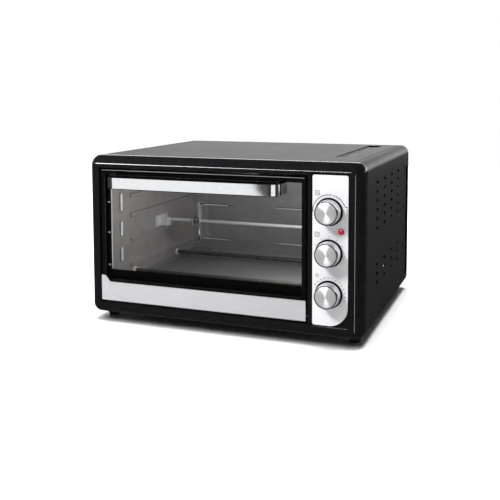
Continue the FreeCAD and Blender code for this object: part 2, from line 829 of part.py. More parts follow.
def make_drive_socket():
    """Turning socket with its shaft through the right wall into the motor."""
    x1 = cavity_right - socket_wall_gap
    cup = rod_x(x1 - socket_length, x1, spit_depth, spit_height, socket_r)
    mouth = x1 - socket_length
    bore = rod_x(mouth - past, mouth + spit_in_socket, spit_depth, spit_height, spit_r)
    shaft = rod_x(x1, cavity_right + sheet + motor_shaft_reach, spit_depth, spit_height, motor_shaft_r)
    return fuse([cup, shaft]).cut(bore)


def make_socket_ring():
    """Fixed ring on the right wall round the drive socket."""
    ring = rod_x(cavity_right - socket_ring_thickness, cavity_right, spit_depth, spit_height, socket_ring_r)
    hole = rod_x(cavity_right - socket_ring_thickness - past, cavity_right + past, spit_depth, spit_height,
                 socket_r + socket_ring_gap)
    return ring.cut(hole)


def make_motor():
    """Slow geared motor screwed to the outside of the right cavity wall."""
    x0 = cavity_right + sheet
    body = box(x0, x0 + motor_thickness, spit_depth - motor_width / 2, spit_depth + motor_width / 2,
               spit_height - motor_height * (1 - motor_above_share), spit_height + motor_height * motor_above_share)
    long_edges = [edge for edge in body.Edges if edge.BoundBox.XLength > motor_thickness - past]
    body = body.makeFillet(motor_corner_r, long_edges)
    can_start = x0 + motor_thickness
    can = rod_x(can_start, can_start + motor_can_length, spit_depth, spit_height - motor_can_drop, motor_can_r)
    bore = rod_x(x0 - past, x0 + motor_shaft_reach + motor_bore_spare, spit_depth, spit_height,
                 motor_shaft_r + shaft_clearance)
    return fuse([body, can]).cut(bore)


def make_fork(x, inward):
    """Two-pronged meat fork: hub, cross bar and two pointed prongs."""
    half = fork_hub_length / 2
    hub = rod_x(x - half, x + half, spit_depth, spit_height, fork_hub_r)
    bar_x = sorted((x + inward * half, x + inward * (half - fork_bar_thickness)))
    bar = box(*bar_x, spit_depth - fork_bar_width / 2, spit_depth + fork_bar_width / 2,
              spit_height - fork_prong_offset - fork_bar_width / 2,
              spit_height + fork_prong_offset + fork_bar_width / 2)
    pieces = [hub, bar]
    for side in (-1, 1):
        z = spit_height + side * fork_prong_offset
        start = x + inward * (half - fork_prong_sunk)
        tip_start = start + inward * (fork_prong_length - fork_tip_length)
        pieces.append(rod_x(*sorted((start, tip_start)), spit_depth, z, fork_prong_r))
        pieces.append(Part.makeCone(fork_prong_r, fork_tip_r, fork_tip_length, Vector(tip_start, spit_depth, z),
                                    Vector(inward, 0, 0)))
    bore = rod_x(x - half - past, x + half + past, spit_depth, spit_height, spit_r + spit_clearance)
    screw_hole = Part.makeCylinder(screw_shank_r + screw_clearance, fork_hub_r + past,
                                   Vector(x - inward * screw_offset, spit_depth, spit_height), Vector(0, -1, 0))
    return fuse(pieces).cut([bore, screw_hole])


def make_thumbscrew(x, inward):
    """Clamping screw that points at the rod from the front, with a flat thumb grip."""
    screw_x = x - inward * screw_offset
    tip_y = spit_depth - spit_r - screw_tip_gap
    head_y = spit_depth - fork_hub_r - screw_stand
    shank = rod_y(head_y, tip_y, screw_x, spit_height, screw_shank_r)
    collar = rod_y(head_y, head_y + screw_collar_height, screw_x, spit_height, screw_collar_r)
    grip_x = screw_x - screw_head_width / 2
    grip = rod_x(grip_x, grip_x + screw_head_width, head_y - screw_head_r + screw_grip_sunk, spit_height,
                 screw_head_r)
    return fuse([shank, collar, grip])


# ---------------------------------------------------------------- door
def make_door_frame():
    """Moulded door: rim round the window, solid lower panel and a seat for glass and retainer."""
    slab = rounded_plate(door_left, door_right, door_bottom, door_top, 0, retainer_y, door_corner_r)
    slab = slab.makeFillet(door_edge_fillet, edges_at_depth(slab, 0))
    tail = rounded_plate(door_left, door_right, door_bottom, window_bottom - door_tail_gap,
                         retainer_y, door_thickness, (door_corner_r, door_corner_r, 0, 0))
    low_edges = [edge for edge in edges_at_depth(tail, door_thickness)
                 if edge.BoundBox.ZMax < door_bottom + door_corner_r + past]
    slab = fuse([slab, tail.makeFillet(door_tail_fillet, low_edges)])
    window = rounded_plate(window_left, window_right, window_bottom, window_top, -past, door_thickness,
                           window_corner_r)
    glass_seat = box(pane_left(), pane_right(), glass_y, door_thickness, pane_bottom(), pane_top())
    hollow = box(door_left + door_hollow_side, door_right - door_hollow_side, door_hollow_front, retainer_y,
                 door_bottom + door_hollow_low, window_bottom - door_hollow_high)
    recess = trim_outline(trim_clearance, -past, trim_thickness - trim_proud)
    return slab.cut([window, glass_seat, hollow, recess] + hinge_rods(past))


def hinge_rods(reach):
    """Both hinge pins, standing out of the door's sides by reach."""
    inside = hinge_pin_inside
    return [rod_x(door_left - reach, door_left + inside, hinge_depth, hinge_height, hinge_pin_r),
            rod_x(door_right - inside, door_right + reach, hinge_depth, hinge_height, hinge_pin_r)]


def pane_left():
    return window_left + retainer_lip - glass_hold


def pane_right():
    return clear_right + glass_hold + pane_overlap_right


def pane_bottom():
    return window_bottom - pane_overlap


def pane_top():
    return window_top + pane_overlap


def make_door_glass():
    """Clear pane between the rim and the retainer, drilled for the handle's screws."""
    gap = pane_clearance
    pane = box(pane_left() + gap, pane_right() - gap, glass_y, retainer_y, pane_bottom() + gap, pane_top() - gap)
    hole_r = handle_screw_r + handle_screw_clearance
    return pane.cut([rod_y(glass_y - past, retainer_y + past, x, handle_mid, hole_r)
                     for x in handle_post_places()])


def make_glass_retainer():
    """Pressed frame that holds the pane in from behind."""
    plate = rounded_plate(door_left + retainer_edge, door_right - retainer_edge,
                          window_bottom - retainer_below_window, door_top - retainer_edge,
                          retainer_y, door_thickness, retainer_corner_r)
    y0 = retainer_y - past
    y1 = door_thickness + past
    view = rounded_plate(clear_left, clear_right, clear_bottom, clear_top, y0, y1, view_corner_r)
    rivets = [rod_y(y0, y1, x, z, rivet_shank_r) for x, z in rivet_places()]
    return plate.cut([view] + rivets)


def rivet_places():
    x_left = (window_left + pane_left()) / 2
    return [(x_left, z) for z in rivet_heights]


def make_glass_rivets():
    """Three bright rivets beside the pane, seen through the window's left edge."""
    rivets = []
    for x, z in rivet_places():
        head = rod_y(retainer_y - rivet_head_height, retainer_y, x, z, rivet_head_r)
        rivets.append(fuse([head, rod_y(retainer_y, door_thickness, x, z, rivet_shank_r)]))
    return group(rivets)


def trim_outline(grow, y0, y1):
    """Strip across the foot of the door that flicks up in a smooth S at its left end."""
    left = door_left - grow
    right = door_right - trim_right_margin + grow
    low = door_bottom + trim_bottom_margin - grow
    flick = trim_flick_top + grow
    top = trim_top + grow
    shoulder = left + trim_flick_width + grow
    run_end = left + trim_flick_width + trim_flick_run + grow
    points = [Vector(left, y0, low), Vector(right, y0, low), Vector(right, y0, top), Vector(run_end, y0, top)]
    edges = [Part.LineSegment(a, b).toShape() for a, b in zip(points, points[1:])]
    curve = Part.BezierCurve()
    reach = trim_flick_run * trim_flick_ease
    curve.setPoles([points[-1], Vector(run_end - reach, y0, top), Vector(shoulder + reach, y0, flick),
                    Vector(shoulder, y0, flick)])
    edges.append(curve.toShape())
    edges.append(Part.LineSegment(Vector(shoulder, y0, flick), Vector(left, y0, flick)).toShape())
    edges.append(Part.LineSegment(Vector(left, y0, flick), points[0]).toShape())
    return Part.Face(Part.Wire(edges)).extrude(Vector(0, y1 - y0, 0))


def make_door_trim():
    return trim_outline(0, -trim_proud, trim_thickness - trim_proud)


def handle_post_places():
    middle = door_mid_x + handle_offset
    reach = handle_length / 2 - handle_bar_thickness - handle_post_width / 2
    return (middle - reach, middle + reach)


def handle_ribbon(offset, thickness, drop, rise):
    """Upright ribbon bent in plan: straight in front, round at both corners, then back to the pane."""
    middle = door_mid_x + handle_offset
    half = handle_length / 2 - offset
    front = -handle_projection + offset
    r = handle_bend_r - offset

    def outline(inset, z):
        x = half - inset
        y = front + inset
        bend = r - inset
        cos45 = bend * math.sqrt(0.5)
        left = [Vector(middle - x, glass_y, z), Vector(middle - x, y + bend, z)]
        left_mid = Vector(middle - x + bend - cos45, y + bend - cos45, z)
        right = [Vector(middle + x, y + bend, z), Vector(middle + x, glass_y, z)]
        right_mid = Vector(middle + x - bend + cos45, y + bend - cos45, z)
        top = [Vector(middle - x + bend, y, z), Vector(middle + x - bend, y, z)]
        return [Part.LineSegment(left[0], left[1]).toShape(),
                Part.Arc(left[1], left_mid, top[0]).toShape(),
                Part.LineSegment(top[0], top[1]).toShape(),
                Part.Arc(top[1], right_mid, right[0]).toShape(),
                Part.LineSegment(right[0], right[1]).toShape()]

    z0 = handle_mid - handle_height / 2 - drop
    outer = outline(0, z0)
    inner = outline(thickness, z0)
    ends = [Part.LineSegment(outer[0].Vertexes[0].Point, inner[0].Vertexes[0].Point).toShape(),
            Part.LineSegment(outer[-1].Vertexes[-1].Point, inner[-1].Vertexes[-1].Point).toShape()]
    face = Part.Face(Part.Wire(Part.__sortEdges__(outer + inner + ends)))
    return face.extrude(Vector(0, 0, handle_height + drop + rise))


def make_handle_bar():
    """Chromed facing of the handle, wrapped round to the pane at both ends."""
    return handle_ribbon(0, handle_bar_thickness, 0, 0)


def make_handle_body():
    """Black moulding behind the chrome, taller than it: the inside of the grip and both mounting posts."""
    grip = handle_ribbon(handle_bar_thickness, handle_body_thickness, handle_body_drop, handle_body_rise)
    z0 = handle_mid - handle_height / 2
    z1 = z0 + handle_height
    beside_door = box(door_left, door_right, -handle_lip_gap, glass_y + past, z1, z1 + handle_body_rise + past)
    posts = []
    for x in handle_post_places():
        posts.append(box(x - handle_post_width / 2, x + handle_post_width / 2, -handle_post_reach, glass_y,
                         z0, z1))
    screws = [rod_y(-handle_screw_bite, glass_y + past, x, handle_mid, handle_screw_r)
              for x in handle_post_places()]
    return fuse([grip.cut(beside_door)] + posts).cut(screws)


def make_handle_screws():
    """Screws through the pane into both ends of the handle."""
    screws = []
    for x in handle_post_places():
        shank = rod_y(-handle_screw_bite, retainer_y, x, handle_mid, handle_screw_r)
        head = rod_y(retainer_y, retainer_y + handle_screw_head_height, x, handle_mid, handle_screw_head_r)
        screws.append(fuse([shank, head]))
    return group(screws)


def make_hinge_pins():
    return group(hinge_rods(hinge_pin_reach))


# ---------------------------------------------------------------- controls
def make_control_fascia():
    """Brushed steel panel behind the knobs, with one large round corner."""
    plate = rounded_plate(fascia_left, fascia_right, fascia_bottom, fascia_top, pocket_floor_y - fascia_thickness,
                          pocket_floor_y, (fascia_corner_r, fascia_low_corner_r, fascia_corner_r, fascia_corner_r))
    y1 = pocket_floor_y + past
    holes = [rod_y(-past, y1, knob_x, z, shaft_hole_r) for z in knob_heights]
    holes.append(rod_y(-past, y1, indicator_x(), indicator_z(), indicator_body_r))
    return plate.cut(holes)


def knob_back():
    return pocket_floor_y - fascia_thickness - knob_lift


def make_knob_skirt(z):
    """Dark ring at the foot of a knob."""
    y1 = knob_back()
    ring = cone_y(y1 - knob_skirt_thickness, y1, knob_x, z, knob_skirt_r - knob_skirt_taper, knob_skirt_r)
    return ring.cut(rod_y(y1 - knob_skirt_thickness - past, y1 + past, knob_x, z, shaft_r))


def make_knob_body(z):
    """Tapered chromed barrel, hollowed for its face and bored for the shaft."""
    y1 = knob_back() - knob_skirt_thickness
    y0 = knob_back() - knob_height
    barrel = cone_y(y0, y1, knob_x, z, knob_body_r - knob_body_taper, knob_body_r)
    barrel = barrel.makeFillet(knob_rim_fillet, edges_at_depth(barrel, y0))
    seat = rod_y(y0 - past, y0 + knob_cap_thickness, knob_x, z, knob_seat_r)
    bore = rod_y(y1 - knob_shaft_bite, y1 + past, knob_x, z, shaft_r)
    return barrel.cut([seat, bore])


def make_knob_cap(z):
    """Spun metal disc in the front of a knob, with a pointer groove."""
    y0 = knob_back() - knob_height
    disc = rod_y(y0 + knob_cap_drop, y0 + knob_cap_thickness, knob_x, z, knob_face_r)
    half = pointer_width / 2
    pointer = box(knob_x - half, knob_x + half, y0 - past, y0 + knob_cap_drop + pointer_depth,
                  z + pointer_inner, z + pointer_outer)
    return disc.cut(pointer)


def make_knob_shaft(z):
    y0 = knob_back() - knob_skirt_thickness - knob_shaft_bite
    return rod_y(y0, control_y + shaft_in_control, knob_x, z, shaft_r)


def make_indicator_lens():
    """Domed red lens on a short barrel."""
    y0 = pocket_floor_y - fascia_thickness
    barrel = rod_y(y0, bracket_y, indicator_x(), indicator_z(), indicator_body_r)
    ball_r = (indicator_r ** 2 + indicator_dome ** 2) / (2 * indicator_dome)
    ball = Part.makeSphere(ball_r, Vector(indicator_x(), y0 + ball_r - indicator_dome, indicator_z()))
    dome = ball.common(rod_y(y0 - indicator_dome - past, y0, indicator_x(), indicator_z(), indicator_r))
    return fuse([barrel, dome])


def make_control_bracket():
    """Steel plate that carries the switch, the thermostat and the timer."""
    plate = box(cavity_right + sheet + bracket_gap_left, half_width - bracket_gap_right, bracket_y,
                bracket_y + sheet, fascia_bottom - bracket_below, fascia_top + bracket_above)
    return plate.cut([rod_y(bracket_y - past, bracket_y + sheet + past, knob_x, z, bushing_r)
                      for z in knob_heights])


def control_bore(z):
    return rod_y(bracket_y - bushing_front - past, control_y + shaft_in_control + past, knob_x, z,
                 shaft_r + shaft_clearance)


def control_bushing(z):
    return rod_y(bracket_y - bushing_front, control_y, knob_x, z, bushing_r)


def control_block(z, width, height, start, end):
    """Block of a control's housing, centred on its shaft, between two distances behind the bracket."""
    return box(knob_x - width / 2, knob_x + width / 2, control_y + start, control_y + end,
               z - height / 2, z + height / 2)


def make_function_switch():
    """Square rotary switch with a row of terminal tabs."""
    z = knob_heights[1]
    body = control_block(z, switch_width, switch_height, 0, switch_depth)
    tabs = []
    for tab in range(switch_tabs):
        x0 = knob_x - switch_tab_spread / 2 + switch_tab_spread * tab / (switch_tabs - 1)
        tabs.append(box(x0 - switch_tab_width / 2, x0 + switch_tab_width / 2, control_y + switch_depth,
                        control_y + switch_depth + switch_tab_length, z - switch_tab_height / 2,
                        z + switch_tab_height / 2))
    return fuse([body, control_bushing(z)] + tabs).cut(control_bore(z))


def make_thermostat():
    """Round thermostat with its contact stack behind it."""
    z = knob_heights[0]
    body = rod_y(control_y, control_y + thermostat_depth, knob_x, z, thermostat_r)
    stack = control_block(z, thermostat_stack_width, thermostat_stack_height, thermostat_depth,
                          thermostat_depth + thermostat_stack_depth)
    return fuse([body, stack, control_bushing(z)]).cut(control_bore(z))


def make_timer():
    """Clockwork timer with its bell behind it."""
    z = knob_heights[2]
    body = control_block(z, timer_width, timer_height, 0, timer_depth)
    bell = rod_y(control_y + timer_depth, control_y + timer_depth + bell_depth, knob_x, z, bell_r)
    return fuse([body, bell, control_bushing(z)]).cut(control_bore(z))


# ---------------------------------------------------------------- write every piece
save("front_frame", make_front_frame())
save("outer_cover", make_outer_cover())
save("top_vent_grille", make_top_vent())
save("base_pan", make_base_pan())
save("rear_panel", make_rear_panel())
save("rear_screws", make_rear_screws())
save("cable_gland", make_cable_gland())
for row, foot_y in (("front", foot_front_inset), ("rear", case_depth - foot_rear_inset)):
    for side_name, sign in (("left", -1), ("right", 1)):
        save("foot_" + row + "_" + side_name, make_foot(sign * (half_width - foot_side_inset), foot_y))

save("cavity_face", make_cavity_face())
save("cavity_left", make_cavity_left())
save("cavity_right", make_cavity_right())
save("cavity_roof", make_cavity_roof())
save("cavity_floor", make_cavity_floor())
save("cavity_back", make_cavity_back())
save("element_insulators", make_insulators())
for level, element_z in zip(("upper", "lower"), element_heights):
    for row, element_y in zip(("front", "rear"), element_depths):
        save("heating_element_" + level + "_" + row, make_element(element_y, element_z))
save("rack_stops", make_rack_stops())
save("crumb_tray", make_crumb_tray())

save("spit_support", make_spit_support())
save("spit_rod", make_spit_rod())
save("drive_socket", make_drive_socket())
save("socket_ring", make_socket_ring())
save("rotisserie_motor", make_motor())
for side_name, place, toward in (("left", fork_left_place, 1), ("right", fork_right_place, -1)):
    save("fork_" + side_name, make_fork(place, toward))
    save("thumbscrew_" + side_name, make_thumbscrew(place, toward))

save("door_frame", make_door_frame())
save("door_glass", make_door_glass())
save("glass_retainer", make_glass_retainer())
save("glass_rivets", make_glass_rivets())
save("door_trim", make_door_trim())
save("handle_bar", make_handle_bar())
save("handle_body", make_handle_body())
save("handle_screws", make_handle_screws())
save("hinge_pins", make_hinge_pins())

save("control_fascia", make_control_fascia())
save("control_bracket", make_control_bracket())
save("function_switch", make_function_switch())
save("thermostat", make_thermostat())
save("timer", make_timer())
save("indicator_lens", make_indicator_lens())
for control, knob_z in zip(("thermostat", "function", "timer"), knob_heights):
    save("knob_skirt_" + control, make_knob_skirt(knob_z))
    save("knob_body_" + control, make_knob_body(knob_z))
    save("knob_cap_" + control, make_knob_cap(knob_z))
    save("knob_shaft_" + control, make_knob_shaft(knob_z))
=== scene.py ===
import json
import math
import bmesh
import bpy
from mathutils import Matrix, Vector

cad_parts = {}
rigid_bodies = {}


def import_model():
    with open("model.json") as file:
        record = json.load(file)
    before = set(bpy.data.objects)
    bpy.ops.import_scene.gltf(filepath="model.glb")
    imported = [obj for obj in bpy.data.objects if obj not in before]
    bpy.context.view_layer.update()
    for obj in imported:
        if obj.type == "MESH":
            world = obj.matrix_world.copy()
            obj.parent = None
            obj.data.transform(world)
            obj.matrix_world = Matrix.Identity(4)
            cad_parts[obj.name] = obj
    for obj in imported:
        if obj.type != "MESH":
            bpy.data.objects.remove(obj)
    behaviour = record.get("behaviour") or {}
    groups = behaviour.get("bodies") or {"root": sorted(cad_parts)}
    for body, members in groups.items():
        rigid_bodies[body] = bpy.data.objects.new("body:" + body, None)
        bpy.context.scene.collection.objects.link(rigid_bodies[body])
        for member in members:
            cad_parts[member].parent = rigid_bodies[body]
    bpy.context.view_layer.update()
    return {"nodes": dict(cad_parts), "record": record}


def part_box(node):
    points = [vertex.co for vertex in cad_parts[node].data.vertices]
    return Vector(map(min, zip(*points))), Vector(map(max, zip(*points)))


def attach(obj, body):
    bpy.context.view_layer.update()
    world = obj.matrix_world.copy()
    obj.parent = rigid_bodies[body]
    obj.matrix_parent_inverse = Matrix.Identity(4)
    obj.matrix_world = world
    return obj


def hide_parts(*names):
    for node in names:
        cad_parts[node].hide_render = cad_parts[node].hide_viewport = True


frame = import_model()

# Countertop rotisserie oven: finishes, smooth copies of the case, turned and swept pieces, dial print.
# Metres, +Z up, +X to the right seen from the front, +Y to the back, origin under the middle of the oven.
MM = 0.001
BODY_OF = {node: body for body, nodes in frame["record"]["behaviour"]["bodies"].items() for node in nodes}


def linear(code):
    """An sRGB hex colour as the linear RGBA that shaders take."""
    shares = [int(code[start:start + 2], 16) / 255 for start in (1, 3, 5)]
    return tuple(c / 12.92 if c <= 0.04045 else ((c + 0.055) / 1.055) ** 2.4 for c in shares) + (1.0,)


def add_node(tree, kind, inputs=None, **settings):
    """Add one node. inputs maps a socket's name or place to a value or to another node's output."""
    node = tree.nodes.new(kind)
    for name, value in settings.items():
        setattr(node, name, value)
    for key, value in (inputs or {}).items():
        if isinstance(value, bpy.types.NodeSocket):
            tree.links.new(value, node.inputs[key])
        else:
            node.inputs[key].default_value = value
    return node


# ---------------------------------------------------------------- finishes
def start_material(name, values):
    """A material with one Principled shader: the material, its tree, the shader, object coordinates."""
    material = bpy.data.materials.new(name)
    material.use_nodes = True
    tree = material.node_tree
    tree.nodes.clear()
    shader = add_node(tree, "ShaderNodeBsdfPrincipled", values)
    add_node(tree, "ShaderNodeOutputMaterial", {"Surface": shader.outputs["BSDF"]})
    place = add_node(tree, "ShaderNodeTexCoord").outputs["Object"]
    return material, tree, shader, place


def vary(tree, shader, pattern, colours=None, roughness=None, bump=None):
    """Let a pattern drive colour (dark, light), roughness (low, high) and height (mm)."""
    if colours:
        mix = add_node(tree, "ShaderNodeMix", {0: pattern, 6: linear(colours[0]), 7: linear(colours[1])},
                       data_type="RGBA")
        tree.links.new(mix.outputs[2], shader.inputs["Base Color"])
    if roughness:
        spread = add_node(tree, "ShaderNodeMapRange", {"Value": pattern, "To Min": roughness[0],
                                                       "To Max": roughness[1]})
        tree.links.new(spread.outputs["Result"], shader.inputs["Roughness"])
    if bump:
        relief = add_node(tree, "ShaderNodeBump", {"Height": pattern, "Strength": 1.0,
                                                   "Distance": bump * MM})
        tree.links.new(relief.outputs["Normal"], shader.inputs["Normal"])


def gloss_black_abs():
    """High-gloss ABS from a polished mould: deep black, crisp highlights, faint waves from shrinkage."""
    material, tree, shader, place = start_material("gloss_black_abs_polished_mould", {
        "IOR": 1.53, "Specular IOR Level": 0.42})
    waves = add_node(tree, "ShaderNodeTexNoise", {"Vector": place, "Scale": 1 / (14 * MM), "Detail": 2.0})
    vary(tree, shader, waves.outputs["Fac"], ("#050506", "#0b0b0c"), (0.10, 0.17), 0.012)
    return material


def satin_black_abs():
    """ABS from a spark-eroded mould: the fine grain breaks the reflection into a soft sheen."""
    material, tree, shader, place = start_material("satin_black_abs_grained_mould", {
        "IOR": 1.53, "Specular IOR Level": 0.35})
    # real grain is about 0.1 mm and is drawn at 0.7 mm so that it shows
    grain = add_node(tree, "ShaderNodeTexNoise", {"Vector": place, "Scale": 1 / (0.7 * MM), "Detail": 3.0})
    vary(tree, shader, grain.outputs["Fac"], ("#08080a", "#141416"), (0.26, 0.36), 0.01)
    return material


def powder_coated_steel(name, dark, light, roughness):
    """Sheet steel with black powder coat: low orange peel from the melted powder, even satin sheen."""
    material, tree, shader, place = start_material(name, {"IOR": 1.5, "Specular IOR Level": 0.5})
    peel = add_node(tree, "ShaderNodeTexNoise", {"Vector": place, "Scale": 1 / (1.4 * MM), "Detail": 2.0})
    cloud = add_node(tree, "ShaderNodeTexNoise", {"Vector": place, "Scale": 1 / (45 * MM), "Detail": 3.0})
    vary(tree, shader, cloud.outputs["Fac"], (dark, light), roughness)
    vary(tree, shader, peel.outputs["Fac"], bump=0.016)
    return material


def aluminised_sheet(name, dark, light, metallic):
    """Hot-dip aluminised steel liner: dull grey with soft crystals a few millimetres across."""
    material, tree, shader, place = start_material(name, {"Metallic": metallic})
    crystals = add_node(tree, "ShaderNodeTexVoronoi", {"Vector": place, "Scale": 1 / (7 * MM)},
                        feature="SMOOTH_F1")
    haze = add_node(tree, "ShaderNodeTexNoise", {"Vector": place, "Scale": 1 / (22 * MM), "Detail": 4.0})
    blend = add_node(tree, "ShaderNodeMix", {0: 0.8, 2: crystals.outputs["Distance"],
                                             3: haze.outputs["Fac"]})
    vary(tree, shader, blend.outputs[0], (dark, light), (0.46, 0.60))
    vary(tree, shader, haze.outputs["Fac"], bump=0.02)
    return material


def brushed_steel(name, stretch, metallic, roughness):
    """Stainless strip brushed with a 180 grit belt: long fine scratches one way, soft wide highlights."""
    material, tree, shader, place = start_material(name, {"Metallic": metallic})
    # scratches are about 0.1 mm wide and are drawn at 0.45 mm so that they show
    lay = add_node(tree, "ShaderNodeMapping", {"Vector": place, "Scale": stretch})
    scratches = add_node(tree, "ShaderNodeTexNoise", {"Vector": lay.outputs[0], "Scale": 1 / (0.45 * MM),
                                                      "Detail": 3.0, "Roughness": 0.7})
    vary(tree, shader, scratches.outputs["Fac"], ("#c9c9cc", "#eeeef0"), roughness, 0.003)
    return material


def bright_chrome():
    """Nickel-chrome plate over a polished part: mirror sharp, with the faintest haze."""
    material, tree, shader, place = start_material("bright_chrome_plate", {"Metallic": 1.0})
    haze = add_node(tree, "ShaderNodeTexNoise", {"Vector": place, "Scale": 1 / (6 * MM), "Detail": 2.0})
    vary(tree, shader, haze.outputs["Fac"], ("#dfe1e4", "#f1f2f3"), (0.05, 0.10), 0.002)
    return material


def spun_aluminium(name, centre):
    """Face turned on a lathe: fine rings round its centre that fan the light out in sectors."""
    material, tree, shader, place = start_material(name, {"Metallic": 0.8, "Anisotropic": 0.9})
    centred = add_node(tree, "ShaderNodeVectorMath", {0: place, 1: centre}, operation="SUBTRACT").outputs[0]
    flat = add_node(tree, "ShaderNodeVectorMath", {0: centred, 1: (1, 0, 1)},
                    operation="MULTIPLY").outputs[0]
    radius = add_node(tree, "ShaderNodeVectorMath", {0: flat}, operation="LENGTH").outputs["Value"]
    # tool marks are about 0.1 mm apart and are drawn 0.35 mm apart so that they show
    rings = add_node(tree, "ShaderNodeTexNoise", {"W": radius, "Scale": 1 / (0.35 * MM), "Detail": 2.0},
                     noise_dimensions="1D")
    # light spreads across the tool marks, so the tangent points outwards from the centre
    direction = add_node(tree, "ShaderNodeVectorTransform", {"Vector": flat}, vector_type="NORMAL",
                         convert_from="OBJECT", convert_to="WORLD").outputs[0]
    tree.links.new(direction, shader.inputs["Tangent"])
    vary(tree, shader, rings.outputs["Fac"], ("#c2c3c6", "#f4f4f5"), (0.30, 0.38))
    return material


def zinc_plated_steel(name, dark, light, metallic):
    """Zinc plate on fasteners and pressed strips: cool grey with cloudy patches, paler where it is matt."""
    material, tree, shader, place = start_material(name, {"Metallic": metallic})
    clouds = add_node(tree, "ShaderNodeTexNoise", {"Vector": place, "Scale": 1 / (4 * MM), "Detail": 3.0})
    vary(tree, shader, clouds.outputs["Fac"], (dark, light), (0.24, 0.36), 0.004)
    return material


def heater_sheath():
    """Rolled steel tube sheath, annealed dark: grey-brown oxide in rings along the tube."""
    material, tree, shader, place = start_material("annealed_heater_sheath", {"Metallic": 0.8})
    rings = add_node(tree, "ShaderNodeMapping", {"Vector": place, "Scale": (1.0, 0.2, 0.2)})
    oxide = add_node(tree, "ShaderNodeTexNoise", {"Vector": rings.outputs[0], "Scale": 1 / (5 * MM),
                                                  "Detail": 4.0})
    vary(tree, shader, oxide.outputs["Fac"], ("#3b3835", "#6f6a65"), (0.42, 0.60), 0.01)
    return material


def glazed_ceramic():
    """Pressed steatite with a thin glaze: warm white, a few darker specks, soft gloss."""
    material, tree, shader, place = start_material("glazed_steatite", {"IOR": 1.55})
    specks = add_node(tree, "ShaderNodeTexNoise", {"Vector": place, "Scale": 1 / (1.2 * MM), "Detail": 2.0})
    vary(tree, shader, specks.outputs["Fac"], ("#cfcac0", "#f0ede6"), (0.28, 0.42), 0.006)
    return material


def clear_glass():
    """Tempered float glass: almost invisible face on, with a faint rolled wave and a grey cast."""
    material, tree, shader, place = start_material("tempered_float_glass", {
        "IOR": 1.52, "Alpha": 0.10, "Specular IOR Level": 0.5})
    wave = add_node(tree, "ShaderNodeTexNoise", {"Vector": place, "Scale": 1 / (60 * MM), "Detail": 1.0})
    vary(tree, shader, wave.outputs["Fac"], ("#14181a", "#1d2224"), (0.02, 0.05))
    return material


def red_lens():
    """Red polycarbonate lens, moulded clear through: a deep edge and a glow where the lamp sits."""
    material, tree, shader, place = start_material("red_polycarbonate_lens", {
        "IOR": 1.58, "Emission Color": linear("#ff2a3c"), "Emission Strength": 0.03,
        "Coat Weight": 1.0, "Coat Roughness": 0.05})
    facets = add_node(tree, "ShaderNodeTexVoronoi", {"Vector": place, "Scale": 1 / (1.6 * MM)})
    vary(tree, shader, facets.outputs["Distance"], ("#7e0d1c", "#a51b2c"), (0.12, 0.22))
    return material


def foot_rubber():
    """Moulded synthetic rubber: near black, matt, finely pitted."""
    material, tree, shader, place = start_material("moulded_foot_rubber", {"IOR": 1.5})
    pits = add_node(tree, "ShaderNodeTexNoise", {"Vector": place, "Scale": 1 / (0.8 * MM), "Detail": 4.0})
    vary(tree, shader, pits.outputs["Fac"], ("#0e0e0e", "#1c1c1c"), (0.62, 0.82), 0.03)
    return material


def thermoset_housing():
    """Compression-moulded phenolic on the switch, thermostat and timer: dark brown, slightly mottled."""
    material, tree, shader, place = start_material("phenolic_control_housing", {"IOR": 1.6})
    flow = add_node(tree, "ShaderNodeTexNoise", {"Vector": place, "Scale": 1 / (3 * MM), "Detail": 5.0})
    vary(tree, shader, flow.outputs["Fac"], ("#1a1512", "#2e2621"), (0.35, 0.55), 0.01)
    return material


def screen_print(name, dark, light, roughness):
    """Fired or air-dried printing ink: flat, opaque, with a slightly uneven film."""
    material, tree, shader, place = start_material(name, {"IOR": 1.5, "Specular IOR Level": 0.3})
    film = add_node(tree, "ShaderNodeTexNoise", {"Vector": place, "Scale": 1 / (2 * MM), "Detail": 3.0})
    vary(tree, shader, film.outputs["Fac"], (dark, light), roughness)
    return material


gloss_black = gloss_black_abs()
satin_black = satin_black_abs()
cover_paint = powder_coated_steel("powder_coated_cover", "#18191b", "#1e1f21", (0.36, 0.44))
pan_paint = powder_coated_steel("powder_coated_base", "#131415", "#1a1b1c", (0.45, 0.55))
liner_sheet = aluminised_sheet("aluminised_liner", "#93908f", "#bab7b5", 0.7)
# painted shade: the back wall and the rack stop rims get a darker copy of the liner's aluminised sheet,
# standing in for the shade deep in the cavity
shaded_back_sheet = aluminised_sheet("aluminised_back_wall", "#8b8b8b", "#a9a9a9", 0.7)
# painted shade: the crumb tray is a darker copy of the liner's aluminised sheet, standing in for shade on the
# cavity floor
shaded_tray_sheet = aluminised_sheet("aluminised_crumb_tray", "#707071", "#8e8e8f", 0.6)
fascia_steel = brushed_steel("brushed_fascia", (1.0, 1.0, 0.02), 0.5, (0.34, 0.48))
trim_steel = brushed_steel("brushed_trim", (0.02, 1.0, 1.0), 0.5, (0.34, 0.46))
chrome = bright_chrome()
zinc = zinc_plated_steel("bright_zinc_plate", "#a7abae", "#d3d6d8", 1.0)
rod_zinc = zinc_plated_steel("polished_zinc_plate", "#c4c5c6", "#ececec", 0.6)
matt_zinc = zinc_plated_steel("matt_zinc_plate", "#cfcfcf", "#f0efee", 0.25)
sheath = heater_sheath()
ceramic = glazed_ceramic()
glass = clear_glass()
lens_red = red_lens()
rubber = foot_rubber()
phenolic = thermoset_housing()
dial_ink = screen_print("dial_ink", "#101012", "#1d1d1f", (0.5, 0.7))
glass_enamel = screen_print("black_glass_enamel", "#040405", "#09090a", (0.16, 0.24))


